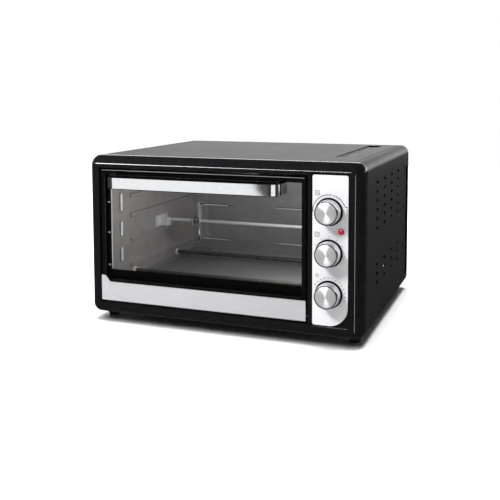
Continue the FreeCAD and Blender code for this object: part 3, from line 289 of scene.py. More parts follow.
# ---------------------------------------------------------------- shapes
def rounded(points, radius, closed=False, steps=4):
    """Round the corners of a 2D line. radius is one size or one for each point."""
    result = []
    count = len(points)
    for place, point in enumerate(points):
        size = radius[place] if isinstance(radius, (list, tuple)) else radius
        if size == 0 or (not closed and place in (0, count - 1)):
            result.append(tuple(point))
            continue
        here = Vector(point)
        before = Vector(points[place - 1]) - here
        after = Vector(points[(place + 1) % count]) - here
        start = here + before.normalized() * min(size, before.length * 0.49)
        end = here + after.normalized() * min(size, after.length * 0.49)
        for step in range(steps + 1):
            share = step / steps
            result.append(tuple(start.lerp(here, share).lerp(here.lerp(end, share), share)))
    return result


def arc(middle, radius, start, end, steps):
    """Points on a 2D circle from one angle to another, in degrees."""
    turns = [math.radians(start + (end - start) * step / steps) for step in range(steps + 1)]
    return [(middle[0] + radius * math.cos(t), middle[1] + radius * math.sin(t)) for t in turns]


def lofted(loops):
    """Closed skin over loops with equally many points, flat at both ends."""
    count = len(loops[0])
    vertices = [Vector(point) for loop in loops for point in loop]
    faces = []
    for row in range(len(loops) - 1):
        start = row * count
        for step in range(count):
            following = (step + 1) % count
            faces.append([start + step, start + following, start + count + following, start + count + step])
    last = len(vertices) - count
    return vertices, faces + [list(range(count)), list(range(last, last + count))]


def turned(profile, centre, axis, steps=72, closed=False):
    """Solid of revolution. profile is (radius, distance along the axis); radius 0 closes a pole."""
    along = Vector(axis).normalized()
    across = along.orthogonal().normalized()
    third = along.cross(across)
    vertices = []
    rings = []
    for radius, distance in profile:
        middle = Vector(centre) + along * distance
        turns = [2 * math.pi * step / steps for step in range(steps if radius > 0 else 1)]
        rings.append(list(range(len(vertices), len(vertices) + len(turns))))
        vertices += [middle + (across * math.cos(t) + third * math.sin(t)) * radius for t in turns]
    pairs = list(zip(rings, rings[1:]))
    if closed:
        pairs.append((rings[-1], rings[0]))
    faces = []
    for low, high in pairs:
        for step in range(steps):
            following = (step + 1) % steps
            corners = [low[step % len(low)], low[following % len(low)],
                       high[following % len(high)], high[step % len(high)]]
            face = list(dict.fromkeys(corners))
            if len(face) > 2:
                faces.append(face)
    return vertices, faces


def made(name, shapes, bevel=0.0):
    """One mesh object from (vertices, faces) shapes: doubles merged, faces outwards, edges softened."""
    build = bmesh.new()
    for vertices, faces in shapes:
        points = [build.verts.new(vertex) for vertex in vertices]
        for face in faces:
            build.faces.new([points[i] for i in face])
    bmesh.ops.remove_doubles(build, verts=build.verts, dist=1e-7)
    bmesh.ops.recalc_face_normals(build, faces=build.faces)
    mesh = bpy.data.meshes.new(name)
    build.to_mesh(mesh)
    build.free()
    piece = bpy.data.objects.new(name, mesh)
    bpy.context.scene.collection.objects.link(piece)
    soften(piece, bevel)
    return piece


def soften(piece, bevel, angle=32):
    """Round the sharp edges by bevel millimetres and shade the rest smooth."""
    for polygon in piece.data.polygons:
        polygon.use_smooth = True
    piece.data.set_sharp_from_angle(angle=math.radians(angle))
    if bevel:
        edge = piece.modifiers.new("edge", "BEVEL")
        edge.width = bevel * MM
        edge.segments = 2
        edge.limit_method = "ANGLE"
        edge.angle_limit = math.radians(angle)
        edge.harden_normals = True
        settle(piece)


def settle(piece):
    """Turn a piece's modifiers into its plain mesh."""
    result = piece.evaluated_get(bpy.context.evaluated_depsgraph_get())
    mesh = bpy.data.meshes.new_from_object(result)
    piece.modifiers.clear()
    piece.data = mesh


def fitted(piece, material, body, stands_for=()):
    """Give a piece its material, slot and body, and hide the nodes that it stands for."""
    piece.data.materials.clear()
    piece.data.materials.append(material)
    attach(piece, body)
    if stands_for:
        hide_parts(*stands_for)
    return piece


def copied(node, bevel, angle=32, changed=None):
    """Smooth copy of a CAD node, with its triangles merged into flat faces and its edges softened."""
    build = bmesh.new()
    build.from_mesh(frame["nodes"][node].data)
    bmesh.ops.remove_doubles(build, verts=build.verts, dist=2e-6)
    bmesh.ops.dissolve_limit(build, angle_limit=math.radians(0.6), verts=build.verts, edges=build.edges)
    mesh = bpy.data.meshes.new(node + "_finished")
    build.to_mesh(mesh)
    build.free()
    piece = bpy.data.objects.new(node + "_finished", mesh)
    bpy.context.scene.collection.objects.link(piece)
    if changed:
        changed(piece)
    soften(piece, bevel, angle)
    return piece


def finish_node(node, material, bevel=0.3, angle=32, changed=None):
    return fitted(copied(node, bevel, angle, changed), material, BODY_OF[node], [node])


def middle_of(node):
    low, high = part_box(node)
    return (low + high) / 2


# ---------------------------------------------------------------- case
def press_top_border(cover):
    """Press a fine groove round the top of the cover, inside its rounded sides."""
    low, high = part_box("outer_cover")
    inset, width, depth = 19 * MM, 1.6 * MM, 0.7 * MM
    outline = [(low.x + inset, low.y + inset / 3), (high.x - inset, low.y + inset / 3),
               (high.x - inset, high.y - inset / 2), (low.x + inset, high.y - inset / 2)]
    inner = [(x + width * side_x, y + width * side_y) for (x, y), (side_x, side_y)
             in zip(outline, ((1, 1), (-1, 1), (-1, -1), (1, -1)))]
    heights = (high.z - depth, high.z + depth)
    loops = [[(x, y, z) for x, y in rounded(ring, radius, True)]
             for ring, radius, z in ((outline, 8 * MM, heights[0]), (outline, 8 * MM, heights[1]),
                                     (inner, 6.4 * MM, heights[1]), (inner, 6.4 * MM, heights[0]))]
    count = len(loops[0])
    vertices, faces = lofted(loops + loops[:1])
    cutter = made("groove_cutter", [(vertices, faces[:4 * count])])
    cut = cover.modifiers.new("groove", "BOOLEAN")
    cut.object = cutter
    cut.solver = "EXACT"
    settle(cover)
    bpy.data.objects.remove(cutter)


def make_case():
    finish_node("front_frame", gloss_black, 0.35)
    finish_node("outer_cover", cover_paint, 0.2, changed=press_top_border)
    finish_node("top_vent_grille", satin_black, 0.2)
    finish_node("base_pan", pan_paint, 0.2)
    finish_node("rear_panel", pan_paint, 0.3)
    for row in ("front", "rear"):
        for side in ("left", "right"):
            make_foot("foot_" + row + "_" + side)


def make_foot(node):
    """Rubber foot: tapered, with a rounded tread, a moulded ring and a deep screw recess."""
    low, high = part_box(node)
    top_r = (high.x - low.x) / 2
    height = high.z - low.z
    corners = [(0, height), (top_r, height), (top_r, height * 0.78), (top_r - 0.7 * MM, height * 0.72),
               (top_r - 2 * MM, 0), (3.5 * MM, 0), (3.5 * MM, 5 * MM), (0, 5 * MM)]
    sizes = [0, 0.6 * MM, 0.3 * MM, 0.3 * MM, 1.4 * MM, 0.5 * MM, 0.3 * MM, 0]
    centre = ((low.x + high.x) / 2, (low.y + high.y) / 2, low.z)
    foot = made(node + "_moulded", [turned(rounded(corners, sizes), centre, (0, 0, 1))])
    fitted(foot, rubber, "oven", [node])


def make_cable_gland():
    """Bushing in the back panel: stepped flange, plain throat, rounded bore."""
    low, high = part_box("cable_gland")
    flange_r = (high.x - low.x) / 2
    length = high.y - low.y
    bore = 3.75 * MM
    neck = 7 * MM
    step = length - 3 * MM
    corners = [(bore, 0), (neck, 0), (neck, step), (flange_r, step), (flange_r, length - 1.2 * MM),
               (flange_r - 2 * MM, length), (bore, length)]
    profile = rounded(corners + [(bore, length / 2)], 0.5 * MM, True)
    centre = (low.x + flange_r, low.y, low.z + flange_r)
    gland = made("cable_gland_moulded", [turned(profile, centre, (0, 1, 0), closed=True)])
    fitted(gland, rubber, "oven", ["cable_gland"])


# ---------------------------------------------------------------- what repeats
def start_tree(name, inputs):
    """A Geometry Nodes tree with named inputs. Returns the tree and its group input node."""
    tree = bpy.data.node_groups.new(name, "GeometryNodeTree")
    tree.interface.new_socket("Geometry", in_out="INPUT", socket_type="NodeSocketGeometry")
    tree.interface.new_socket("Geometry", in_out="OUTPUT", socket_type="NodeSocketGeometry")
    for label, kind in inputs:
        tree.interface.new_socket(label, in_out="INPUT", socket_type="NodeSocket" + kind)
    return tree, add_node(tree, "NodeGroupInput").outputs


def end_tree(tree, geometry, material):
    """Make instances real, give them their material and hand them on."""
    real = add_node(tree, "GeometryNodeRealizeInstances", {"Geometry": geometry})
    coated = add_node(tree, "GeometryNodeSetMaterial", {"Geometry": real.outputs[0], "Material": material})
    add_node(tree, "NodeGroupOutput", {"Geometry": coated.outputs[0]})


def grown(name, points, tree, values):
    """Run a tree on loose points and keep the result as a plain mesh."""
    mesh = bpy.data.meshes.new(name)
    mesh.from_pydata([tuple(point) for point in points], [], [])
    piece = bpy.data.objects.new(name, mesh)
    bpy.context.scene.collection.objects.link(piece)
    modifier = piece.modifiers.new("repeat", "NODES")
    modifier.node_group = tree
    for item in tree.interface.items_tree:
        if item.in_out == "INPUT" and item.name in values:
            modifier[item.identifier] = values[item.name]
    settle(piece)
    return piece


def copies_tree():
    """One shape on every point."""
    tree, given = start_tree("shape_on_points", (("Shape", "Object"), ("Finish", "Material")))
    shape = add_node(tree, "GeometryNodeObjectInfo", {"Object": given["Shape"]})
    placed = add_node(tree, "GeometryNodeInstanceOnPoints", {"Points": given["Geometry"],
                                                            "Instance": shape.outputs["Geometry"]})
    end_tree(tree, placed.outputs[0], given["Finish"])
    return tree


def dots_tree():
    """Flat round dots evenly along an arc in the XZ plane."""
    tree, given = start_tree("dots_on_arc", (("Dots", "Int"), ("Radius", "Float"), ("Start", "Float"),
                                             ("Sweep", "Float"), ("Dot Radius", "Float"), ("Film", "Float"),
                                             ("Centre", "Vector"), ("Finish", "Material")))
    path = add_node(tree, "GeometryNodeCurveArc", {"Resolution": 48, "Radius": given["Radius"],
                                                   "Start Angle": given["Start"],
                                                   "Sweep Angle": given["Sweep"]})
    points = add_node(tree, "GeometryNodeCurveToPoints", {"Curve": path.outputs[0], "Count": given["Dots"]})
    dot = add_node(tree, "GeometryNodeMeshCylinder", {"Vertices": 14, "Radius": given["Dot Radius"],
                                                      "Depth": given["Film"]})
    placed = add_node(tree, "GeometryNodeInstanceOnPoints", {"Points": points.outputs[0],
                                                            "Instance": dot.outputs[0]})
    upright = add_node(tree, "GeometryNodeTransform", {"Geometry": placed.outputs[0],
                                                       "Translation": given["Centre"],
                                                       "Rotation": (math.pi / 2, 0, 0)})
    end_tree(tree, upright.outputs[0], given["Finish"])
    return tree


def screw_head(name, radius, height, axis_y):
    """Pan head with a cross recess, its seat at the origin and its top towards axis_y along Y."""
    profile = [(0, 0)] + rounded([(radius, 0), (radius, height * 0.45), (radius * 0.72, height), (0, height)],
                                 [0, 0.5 * MM, 0.8 * MM, 0])
    head = made(name, [turned(profile, (0, 0, 0), (0, axis_y, 0), 28)])
    arm, slot, deep = radius * 0.62, radius * 0.13, height * 0.5
    bars = []
    for half_x, half_z in ((arm, slot), (slot, arm)):
        corners = [(-half_x, -half_z), (half_x, -half_z), (half_x, half_z), (-half_x, half_z)]
        bars.append(lofted([[(x, y, z) for x, z in corners]
                            for y in (axis_y * deep, axis_y * height * 1.2)]))
    for bar in bars:
        cutter = made("cross_cutter", [bar])
        cut = head.modifiers.new("cross", "BOOLEAN")
        cut.object = cutter
        settle(head)
        bpy.data.objects.remove(cutter)
    soften(head, 0)
    return head


def make_rear_screws(tree):
    low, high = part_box("rear_screws")
    height = high.y - low.y
    radius = 3.6 * MM
    head = screw_head("rear_screw_shape", radius, height, 1)
    xs = (low.x + 11 * MM + radius, 0.0, high.x - 11 * MM - radius)
    points = [(x, low.y, z) for x in xs for z in (low.z + radius, high.z - radius)]
    points += [(x, low.y, (low.z + high.z) / 2 - 2 * MM) for x in (low.x + radius, high.x - radius)]
    screws = grown("rear_screws_set", points, tree, {"Shape": head, "Finish": zinc})
    fitted(screws, zinc, "oven", ["rear_screws"])
    bpy.data.objects.remove(head)


# ---------------------------------------------------------------- oven cavity
def make_cavity():
    finish_node("cavity_face", liner_sheet, 0.2)
    finish_node("cavity_left", liner_sheet, 0.5)
    finish_node("cavity_right", liner_sheet, 0.5)
    finish_node("cavity_roof", liner_sheet, 0.2)
    finish_node("cavity_floor", liner_sheet, 0.2)
    # the back wall wears the darker copy of the sheet: painted shade
    finish_node("cavity_back", shaded_back_sheet, 0.6)
    # the crumb tray wears the darker copy of the sheet: painted shade on the cavity floor
    finish_node("crumb_tray", shaded_tray_sheet, 0.35)


def make_heating():
    """Four sheathed elements with crimped ends, each in two ceramic bushes."""
    wall_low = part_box("cavity_left")[0].x + 1 * MM
    wall_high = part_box("cavity_right")[1].x - 1 * MM
    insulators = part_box("element_insulators")
    tail = wall_low - insulators[0].x
    bushes = []
    for level in ("upper", "lower"):
        for row in ("front", "rear"):
            node = "heating_element_" + level + "_" + row
            low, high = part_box(node)
            centre = (0, (low.y + high.y) / 2, (low.z + high.z) / 2)
            r = (high.z - low.z) / 2
            pin = 10 * MM
            half = [(1.5 * MM, pin), (1.5 * MM, pin + 1 * MM), (r * 0.8, pin + 1.5 * MM), (r, pin + 4 * MM)]
            span = high.x - low.x
            profile = [(0, low.x), (1.5 * MM, low.x)] + [(radius, low.x + d) for radius, d in half]
            profile += [(radius, low.x + span - d) for radius, d in reversed(half)]
            profile += [(1.5 * MM, high.x), (0, high.x)]
            tube = made(node + "_drawn", [turned(profile, centre, (1, 0, 0), 40)])
            fitted(tube, sheath, "oven", [node])
            for wall, inward in ((wall_low, 1), (wall_high, -1)):
                collar = 3 * MM
                bore = r + 0.02 * MM
                section = [(bore, -tail), (5 * MM, -tail), (5 * MM, 0), (6 * MM, 0), (6 * MM, collar),
                           (bore, collar)]
                bushes.append(turned(rounded(section, 0.4 * MM, True), (wall, centre[1], centre[2]),
                                     (inward, 0, 0), 40, True))
    insulator_rings = made("element_insulators_pressed", bushes)
    fitted(insulator_rings, ceramic, "oven", ["element_insulators"])


def make_rack_stops():
    """Pressed strips with a dull raised rim and a bright sunk middle: the rim wears the darker back-wall copy
    of the sheet (painted shade) and the middle a separate pale film (painted highlight).
    """
    low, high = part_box("rack_stops")
    half = 5 * MM
    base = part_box("cavity_left")[0].z + 1 * MM - 40 * MM
    middle_y = (low.y + high.y) / 2
    spans = ((47.5, 60.0), (78.0, 106.0), (122.5, 150.5), (166.5, 200.5))
    rim = ((0.0, 0.0), (0.0, 1.5), (0.5, 2.0), (1.0, 2.0), (1.4, 1.4))
    core = ((1.5, 1.3), (1.6, 1.5))
    strips = {rim: [], core: []}
    for wall, inward in ((low.x, 1), (high.x, -1)):
        for z0, z1 in spans:
            lower = base + z0 * MM + half
            upper = max(base + z1 * MM - half, lower + 0.01 * MM)
            for steps, shapes in strips.items():
                loops = []
                for inset, height in steps:
                    r = half - inset * MM
                    outline = arc((middle_y, upper), r, 0, 180, 16)
                    outline += arc((middle_y, lower), r, 180, 360, 16)
                    loops.append([(wall + inward * height * MM, y, z) for y, z in outline])
                shapes.append(lofted(loops))
    fitted(made("rack_stops_pressed", strips[rim]), shaded_back_sheet, "oven", ["rack_stops"])
    # painted highlight: a pale matt film laid in the sunk middle of each pressed strip
    fitted(made("rack_stops_cores", strips[core]), matt_zinc, "oven")


# ---------------------------------------------------------------- rotisserie
def make_rotisserie():
    low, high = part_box("spit_rod")
    centre = (0, (low.y + high.y) / 2, (low.z + high.z) / 2)
    r = (high.z - low.z) / 2
    profile = rounded([(0, low.x), (r, low.x), (r, high.x - 5 * MM), (r * 0.4, high.x), (0, high.x)],
                      [0, 0.8 * MM, 2 * MM, 0.8 * MM, 0])
    rod = made("spit_rod_drawn", [turned(profile, centre, (1, 0, 0), 40)])
    fitted(rod, rod_zinc, "spit", ["spit_rod"])
    finish_node("drive_socket", chrome, 0.3)
    finish_node("socket_ring", matt_zinc, 0.5)
    finish_node("spit_support", rod_zinc, 0.5)
    finish_node("rotisserie_motor", zinc, 0.4)
    for side in ("left", "right"):
        finish_node("fork_" + side, chrome, 0.4)
        finish_node("thumbscrew_" + side, chrome, 0.3)


# ---------------------------------------------------------------- door
def make_door():
    finish_node("door_frame", gloss_black, 0.3)
    finish_node("door_glass", glass, 0.2)
    finish_node("glass_retainer", satin_black, 0.25)
    finish_node("door_trim", trim_steel, 0.25)
    finish_node("hinge_pins", zinc, 0.3)
    make_glass_rivets()
    make_pane_band()


def make_glass_rivets():
    """Domed rivets beside the pane."""
    low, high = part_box("glass_rivets")
    radius = (high.x - low.x) / 2
    heights = (low.z + radius, low.z + radius + (138.3 - 83.4) * MM, high.z - radius)
    back = high.y
    rivets = []
    for z in heights:
        profile = rounded([(0, low.y - back), (radius * 0.7, low.y - back), (radius, low.y - back + 1.4 * MM),
                           (radius * 0.8, 0), (0, 0)], [0, 0.5 * MM, 0.2 * MM, 0, 0])
        rivets.append(turned(profile, (low.x + radius, back, z), (0, 1, 0), 24))
    fitted(made("glass_rivets_domed", rivets), matt_zinc, "door", ["glass_rivets"])


def make_pane_band():
    """Black enamel fired on the foot of the pane, and beside it a pale strip on the retainer's left inner
    edge, a painted highlight.
    """
    low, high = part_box("door_glass")
    film = 0.08 * MM
    band_top = low.z + 16.5 * MM
    corners = [(low.x + 3.2 * MM, low.z), (high.x, low.z), (high.x, band_top), (low.x + 3.2 * MM, band_top)]
    band = lofted([[(x, y, z) for x, z in corners] for y in (low.y - film, low.y - 0.2 * film)])
    fitted(made("pane_enamel_band", [band]), glass_enamel, "door")
    # painted highlight: a pale matt strip on the left inner edge of the black retainer only, where light
    # catches that edge
    edge_low, edge_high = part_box("glass_retainer")
    left = low.x + 1.8 * MM
    corners = [(left, low.z + 16 * MM), (left + 0.9 * MM, low.z + 16 * MM),
               (left + 0.9 * MM, high.z - 3.6 * MM), (left, high.z - 3.6 * MM)]
    depths = (edge_low.y + 0.1 * MM, edge_high.y - 0.2 * MM)
    strip = lofted([[(x, y, z) for x, z in corners] for y in depths])
    fitted(made("retainer_cut_edge", [strip], 0.1), matt_zinc, "door")


def handle_path(middle, half, front, back, bend):
    """Plan of the handle, left to right: out of the door, round a corner, across, round and back."""
    left = arc((middle - half + bend, front + bend), bend, 180, 270, 20)
    right = arc((middle + half - bend, front + bend), bend, 270, 360, 20)
    return [(middle - half, back)] + left + right + [(middle + half, back)]


def ribbon(path, section):
    """Sweep an upright section along a path in plan. section is (inwards, height) points."""
    loops = []
    for place, point in enumerate(path):
        before = Vector(path[max(place - 1, 0)])
        after = Vector(path[min(place + 1, len(path) - 1)])
        along = (after - before).normalized()
        inward = Vector((-along.y, along.x))
        loops.append([(point[0] + inward.x * depth, point[1] + inward.y * depth, height)
                      for depth, height in section])
    return lofted(loops)


def make_handle():
    """Chromed flat bar wrapped round a taller black grip with two posts."""
    low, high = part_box("handle_bar")
    middle = (low.x + high.x) / 2
    half = (high.x - low.x) / 2
    bend = 16 * MM
    thick = 2.5 * MM
    section = rounded([(0, low.z), (thick, low.z), (thick, high.z), (0, high.z)],
                      [0.6 * MM, 0.15 * MM, 0.15 * MM, 0.6 * MM], True)
    bar = made("handle_bar_plated", [ribbon(handle_path(middle, half, low.y, high.y, bend), section)])
    fitted(bar, chrome, "door", ["handle_bar"])

    grip_low, grip_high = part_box("handle_body")
    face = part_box("door_frame")[0].y
    edge = thick + 0.02 * MM
    inner = edge + 8.4 * MM
    # the grip is taller than the bar as far as the door, and as tall as the bar inside the window
    tall = rounded([(edge, grip_low.z), (inner, grip_low.z), (inner, grip_high.z), (edge, grip_high.z)],
                   [0.3 * MM, 2.5 * MM, 2.5 * MM, 1.2 * MM], True)
    short = rounded([(edge, low.z), (inner, low.z), (inner, high.z), (edge, high.z)],
                    [0.3 * MM, 2.5 * MM, 2.5 * MM, 0.3 * MM], True)
    lip_end = face - 3.2 * MM
    left = [(middle - half, grip_high.y), (middle - half, lip_end)]
    right = [(middle + half, lip_end), (middle + half, grip_high.y)]
    shapes = [ribbon(handle_path(middle, half, low.y, lip_end, bend), tall), ribbon(left, short),
              ribbon(right, short)]
    grip = made("handle_grip_moulded", shapes)
    fitted(grip, gloss_black, "door", ["handle_body"])
    posts = []
    reach = half - thick - 6 * MM
    for x in (middle - reach, middle + reach):
        corners = rounded([(x - 6 * MM, low.z + 0.5 * MM), (x + 6 * MM, low.z + 0.5 * MM),
                           (x + 6 * MM, high.z - 0.5 * MM), (x - 6 * MM, high.z - 0.5 * MM)], 2 * MM, True)
        posts.append(lofted([[(px, y, pz) for px, pz in corners] for y in (face - 12 * MM, grip_high.y)]))
    fitted(made("handle_posts_moulded", posts), satin_black, "door")


def make_handle_screws(tree):
    low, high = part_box("handle_screws")
    radius = (high.z - low.z) / 2
    height = 1.5 * MM
    head = screw_head("handle_screw_shape", radius, height, 1)
    points = [(x, high.y - height, (low.z + high.z) / 2) for x in (low.x + radius, high.x - radius)]
    screws = grown("handle_screws_set", points, tree, {"Shape": head, "Finish": zinc})
    fitted(screws, zinc, "door", ["handle_screws"])
    bpy.data.objects.remove(head)


# ---------------------------------------------------------------- controls
CONTROLS = ("thermostat", "function", "timer")


def knob_centre(control):
    """Middle of a knob on the face of the control panel."""
    middle = middle_of("knob_shaft_" + control)
    return Vector((middle.x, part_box("control_fascia")[0].y, middle.z))


def make_knob(control):
    """Knob: black skirt, tapered chrome barrel, black ring and a crowned spun face."""
    centre = knob_centre(control)
    body = control + "_knob"
    toward = (0, -1, 0)

    skirt_low, skirt_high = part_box("knob_skirt_" + control)
    skirt_r = (skirt_high.x - skirt_low.x) / 2
    back = centre.y - skirt_high.y
    front = centre.y - skirt_low.y
    shaft_r = (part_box("knob_shaft_" + control)[1].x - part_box("knob_shaft_" + control)[0].x) / 2
    section = [(shaft_r, back), (skirt_r, back), (skirt_r, back + 1 * MM), (skirt_r - 1 * MM, front),
               (shaft_r, front)]
    skirt = made("knob_skirt_" + control + "_moulded",
                 [turned(rounded(section, 0.4 * MM, True), centre, toward, 96, True)])
    fitted(skirt, gloss_black, body, ["knob_skirt_" + control])

    body_low, body_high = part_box("knob_body_" + control)
    foot_r = (body_high.x - body_low.x) / 2
    foot = centre.y - body_high.y
    top = centre.y - body_low.y
    rim_r = foot_r - 1.7 * MM
    disc_r = rim_r - 0.4 * MM
    seat = top - 1.6 * MM
    section = [(shaft_r, foot), (foot_r, foot), (foot_r, foot + 1.2 * MM), (rim_r, top), (disc_r, top),
               (disc_r, seat), (shaft_r, seat)]
    sizes = [0, 0.2 * MM, 0.4 * MM, 0.2 * MM, 0.15 * MM, 0, 0]
    barrel = made("knob_barrel_" + control,
                  [turned(rounded(section, sizes, True), centre, toward, 96, True)])
    fitted(barrel, chrome, body, ["knob_body_" + control])

    ring = [(disc_r - 1.1 * MM, seat + 0.05 * MM), (disc_r - 0.05 * MM, seat + 0.05 * MM),
            (disc_r - 0.05 * MM, top - 0.3 * MM), (disc_r - 1.1 * MM, top - 0.3 * MM)]
    black_ring = made("knob_ring_" + control,
                      [turned(rounded(ring, 0.1 * MM, True), centre, toward, 96, True)])
    fitted(black_ring, satin_black, body)

    face_edge = disc_r - 1.2 * MM
    crowned = [(0, seat + 0.05 * MM), (face_edge, seat + 0.05 * MM), (face_edge, top - 0.6 * MM),
               (face_edge - 0.4 * MM, top - 0.4 * MM), (face_edge * 0.5, top - 0.14 * MM),
               (0, top - 0.06 * MM)]
    face = made("knob_face_" + control, [turned(crowned, centre, toward, 96)])
    spun = spun_aluminium("spun_face_" + control, tuple(centre))
    fitted(face, spun, body, ["knob_cap_" + control])

    finish_node("knob_shaft_" + control, zinc, 0.2)


def make_indicator():
    """Domed red lens with a narrower stem going into the panel."""
    low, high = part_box("indicator_lens")
    radius = (high.x - low.x) / 2
    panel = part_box("control_fascia")[0].y
    dome = panel - low.y
    centre = ((low.x + high.x) / 2, panel, (low.z + high.z) / 2)
    stem = high.y - panel
    cap = [(radius * math.sin(math.radians(t)), dome * math.cos(math.radians(t))) for t in range(0, 91, 9)]
    neck = radius - 0.8 * MM
    profile = cap + [(radius, 0.02 * MM), (neck, 0.02 * MM), (neck, -stem), (0, -stem)]
    lens = made("indicator_lens_domed", [turned(profile, centre, (0, -1, 0), 48)])
    fitted(lens, lens_red, "oven", ["indicator_lens"])


def flat_print(shapes, panel):
    """Thin prism of ink for each 2D outline on the control panel."""
    film = (panel - 0.06 * MM, panel - 0.01 * MM)
    return [lofted([[(x, y, z) for x, z in outline] for y in film]) for outline in shapes]


def stroke(points, width):
    """Outline of a line drawn with a given width along 2D points."""
    sides = ([], [])
    for place, point in enumerate(points):
        before = Vector(points[max(place - 1, 0)])
        after = Vector(points[min(place + 1, len(points) - 1)])
        along = (after - before).normalized()
        across = Vector((-along.y, along.x)) * width / 2
        sides[0].append(tuple(Vector(point) + across))
        sides[1].append(tuple(Vector(point) - across))
    return sides[0] + sides[1][::-1]


def make_dial_print(tree):
    """Generic dial marks: a heat scale, a picture of the grill, and dots for minutes."""
    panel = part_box("control_fascia")[0].y
    line = 1.0 * MM
    heat, mode, minutes = [knob_centre(control).xz for control in CONTROLS]
    scale_r = 25.3 * MM
    marks = [stroke(arc(heat, scale_r, 176, 82, 24), line), stroke(arc(heat, scale_r, 66, 22, 16), line),
             arc((heat[0] - scale_r, heat[1]), 1.2 * MM, 0, 345, 14)]
    tip = heat + Vector((math.cos(math.radians(72)), math.sin(math.radians(72)))) * scale_r
    marks.append([tuple(tip + Vector((1.6 * MM, -0.4 * MM))), tuple(tip + Vector((-1.2 * MM, 1.4 * MM))),
                  tuple(tip + Vector((-1.2 * MM, -0.9 * MM)))])
    marks.append(stroke([tuple(heat + Vector((x * MM, 8 * MM))) for x in (23.6, 28.0)], line))
    marks.append(stroke([tuple(heat + Vector((27.2 * MM, z * MM))) for z in (6.0, -6.0)], line))

    corner = Vector((-18.4 * MM, 27.6 * MM))
    side = 6.4 * MM
    for middle in (heat + corner, mode + corner):
        x, z = middle
        box = [(x - side / 2, z - side / 2), (x + side / 2, z - side / 2), (x + side / 2, z + side / 2),
               (x - side / 2, z + side / 2)]
        marks += [stroke([box[i], box[(i + 1) % 4]], 0.75 * MM) for i in range(4)]
    x, z = heat + corner
    marks.append(stroke(arc((x - 0.9 * MM, z), 1.0 * MM, 180, 0, 8), 0.75 * MM))
    marks.append(stroke(arc((x + 1.1 * MM, z), 1.0 * MM, 180, 360, 8), 0.75 * MM))
    x, z = mode + corner
    marks.append(stroke([(x - 1.6 * MM, z + 1.2 * MM), (x + 1.6 * MM, z + 1.2 * MM)], 0.6 * MM))
    marks.append(stroke([(x - 1.6 * MM, z - 1.2 * MM), (x + 1.6 * MM, z - 1.2 * MM)], 0.6 * MM))
    x, z = minutes + corner
    marks.append(stroke(arc((x, z), 2.4 * MM, 90, 448, 28), 0.6 * MM))
    marks.append(stroke([(x, z + 1.6 * MM), (x, z), (x + 1.2 * MM, z - 0.4 * MM)], 0.6 * MM))
    for turn in (150, 120, 90, 60, 30):
        start, end = [mode + Vector((math.cos(math.radians(turn)), math.sin(math.radians(turn)))) * r * MM
                      for r in (23.0, 24.4)]
        marks.append(stroke([tuple(start), tuple(end)], line))
    ink = made("dial_marks", flat_print(marks, panel))
    fitted(ink, dial_ink, "oven")

    dots = grown("timer_dots", [(0, 0, 0)], tree, {
        "Dots": 13, "Radius": 25.0 * MM, "Start": math.radians(-18), "Sweep": math.radians(165),
        "Dot Radius": 0.8 * MM, "Film": 0.05 * MM,
        "Centre": (minutes[0], panel - 0.035 * MM, minutes[1]), "Finish": dial_ink})
    fitted(dots, dial_ink, "oven")


def make_controls(dot_tree):
    finish_node("control_fascia", fascia_steel, 0.2)
    for control in CONTROLS:
        make_knob(control)
    make_indicator()
    make_dial_print(dot_tree)
    for node, material in (("control_bracket", zinc), ("function_switch", phenolic),
                           ("thermostat", phenolic), ("timer", phenolic)):
        frame["nodes"][node].material_slots[0].material = material


# ---------------------------------------------------------------- studio
def aim(thing, place, target):
    """Put a light at place so that it shines at target."""
    thing.location = place
    thing.rotation_euler = (Vector(target) - Vector(place)).to_track_quat("-Z", "Y").to_euler()


def softbox(name, place, target, size, power, only=None, gloss=True):
    """Rectangular lamp that the camera doesn't see. only is the collection that it lights."""
    lamp = bpy.data.lights.new(name, "AREA")
    lamp.shape = "RECTANGLE"
    lamp.size, lamp.size_y = size
    lamp.energy = power
    thing = bpy.data.objects.new(name, lamp)
    bpy.context.scene.collection.objects.link(thing)
    thing.visible_camera = False
    thing.visible_glossy = gloss
    aim(thing, place, target)
    if only:
        thing.light_linking.receiver_collection = only
    return thing


def make_world():
    """White for the camera; for the rest a dim room with a bright band just over the horizon behind."""
    world = bpy.data.worlds.new("studio")
    bpy.context.scene.world = world
    world.use_nodes = True
    tree = world.node_tree
    tree.nodes.clear()
    direction = add_node(tree, "ShaderNodeTexCoord").outputs["Generated"]
    parts = add_node(tree, "ShaderNodeSeparateXYZ", {"Vector": direction})
    # each range runs from nothing to full: towards the back, down from the band's top, up from its foot
    behind, low, over = [add_node(tree, "ShaderNodeMapRange", {
        "Value": parts.outputs[axis], "From Min": start, "From Max": end, "To Min": 0.0, "To Max": 1.0})
        for axis, start, end in (("Y", 0.3, 0.95), ("Z", 0.36, 0.12), ("Z", 0.0, 0.04))]
    band = add_node(tree, "ShaderNodeMath", {0: low.outputs[0], 1: over.outputs[0]}, operation="MULTIPLY")
    glow = add_node(tree, "ShaderNodeMath", {0: behind.outputs[0], 1: band.outputs[0]},
                    operation="MULTIPLY")
    level = add_node(tree, "ShaderNodeMapRange", {"Value": glow.outputs[0], "To Min": 0.05, "To Max": 2.2})
    seen = add_node(tree, "ShaderNodeLightPath").outputs["Is Camera Ray"]
    strength = add_node(tree, "ShaderNodeMix", {0: seen, 2: level.outputs[0], 3: 1.0})
    background = add_node(tree, "ShaderNodeBackground", {"Color": (1, 1, 1, 1),
                                                         "Strength": strength.outputs[0]})
    add_node(tree, "ShaderNodeOutputWorld", {"Surface": background.outputs[0]})


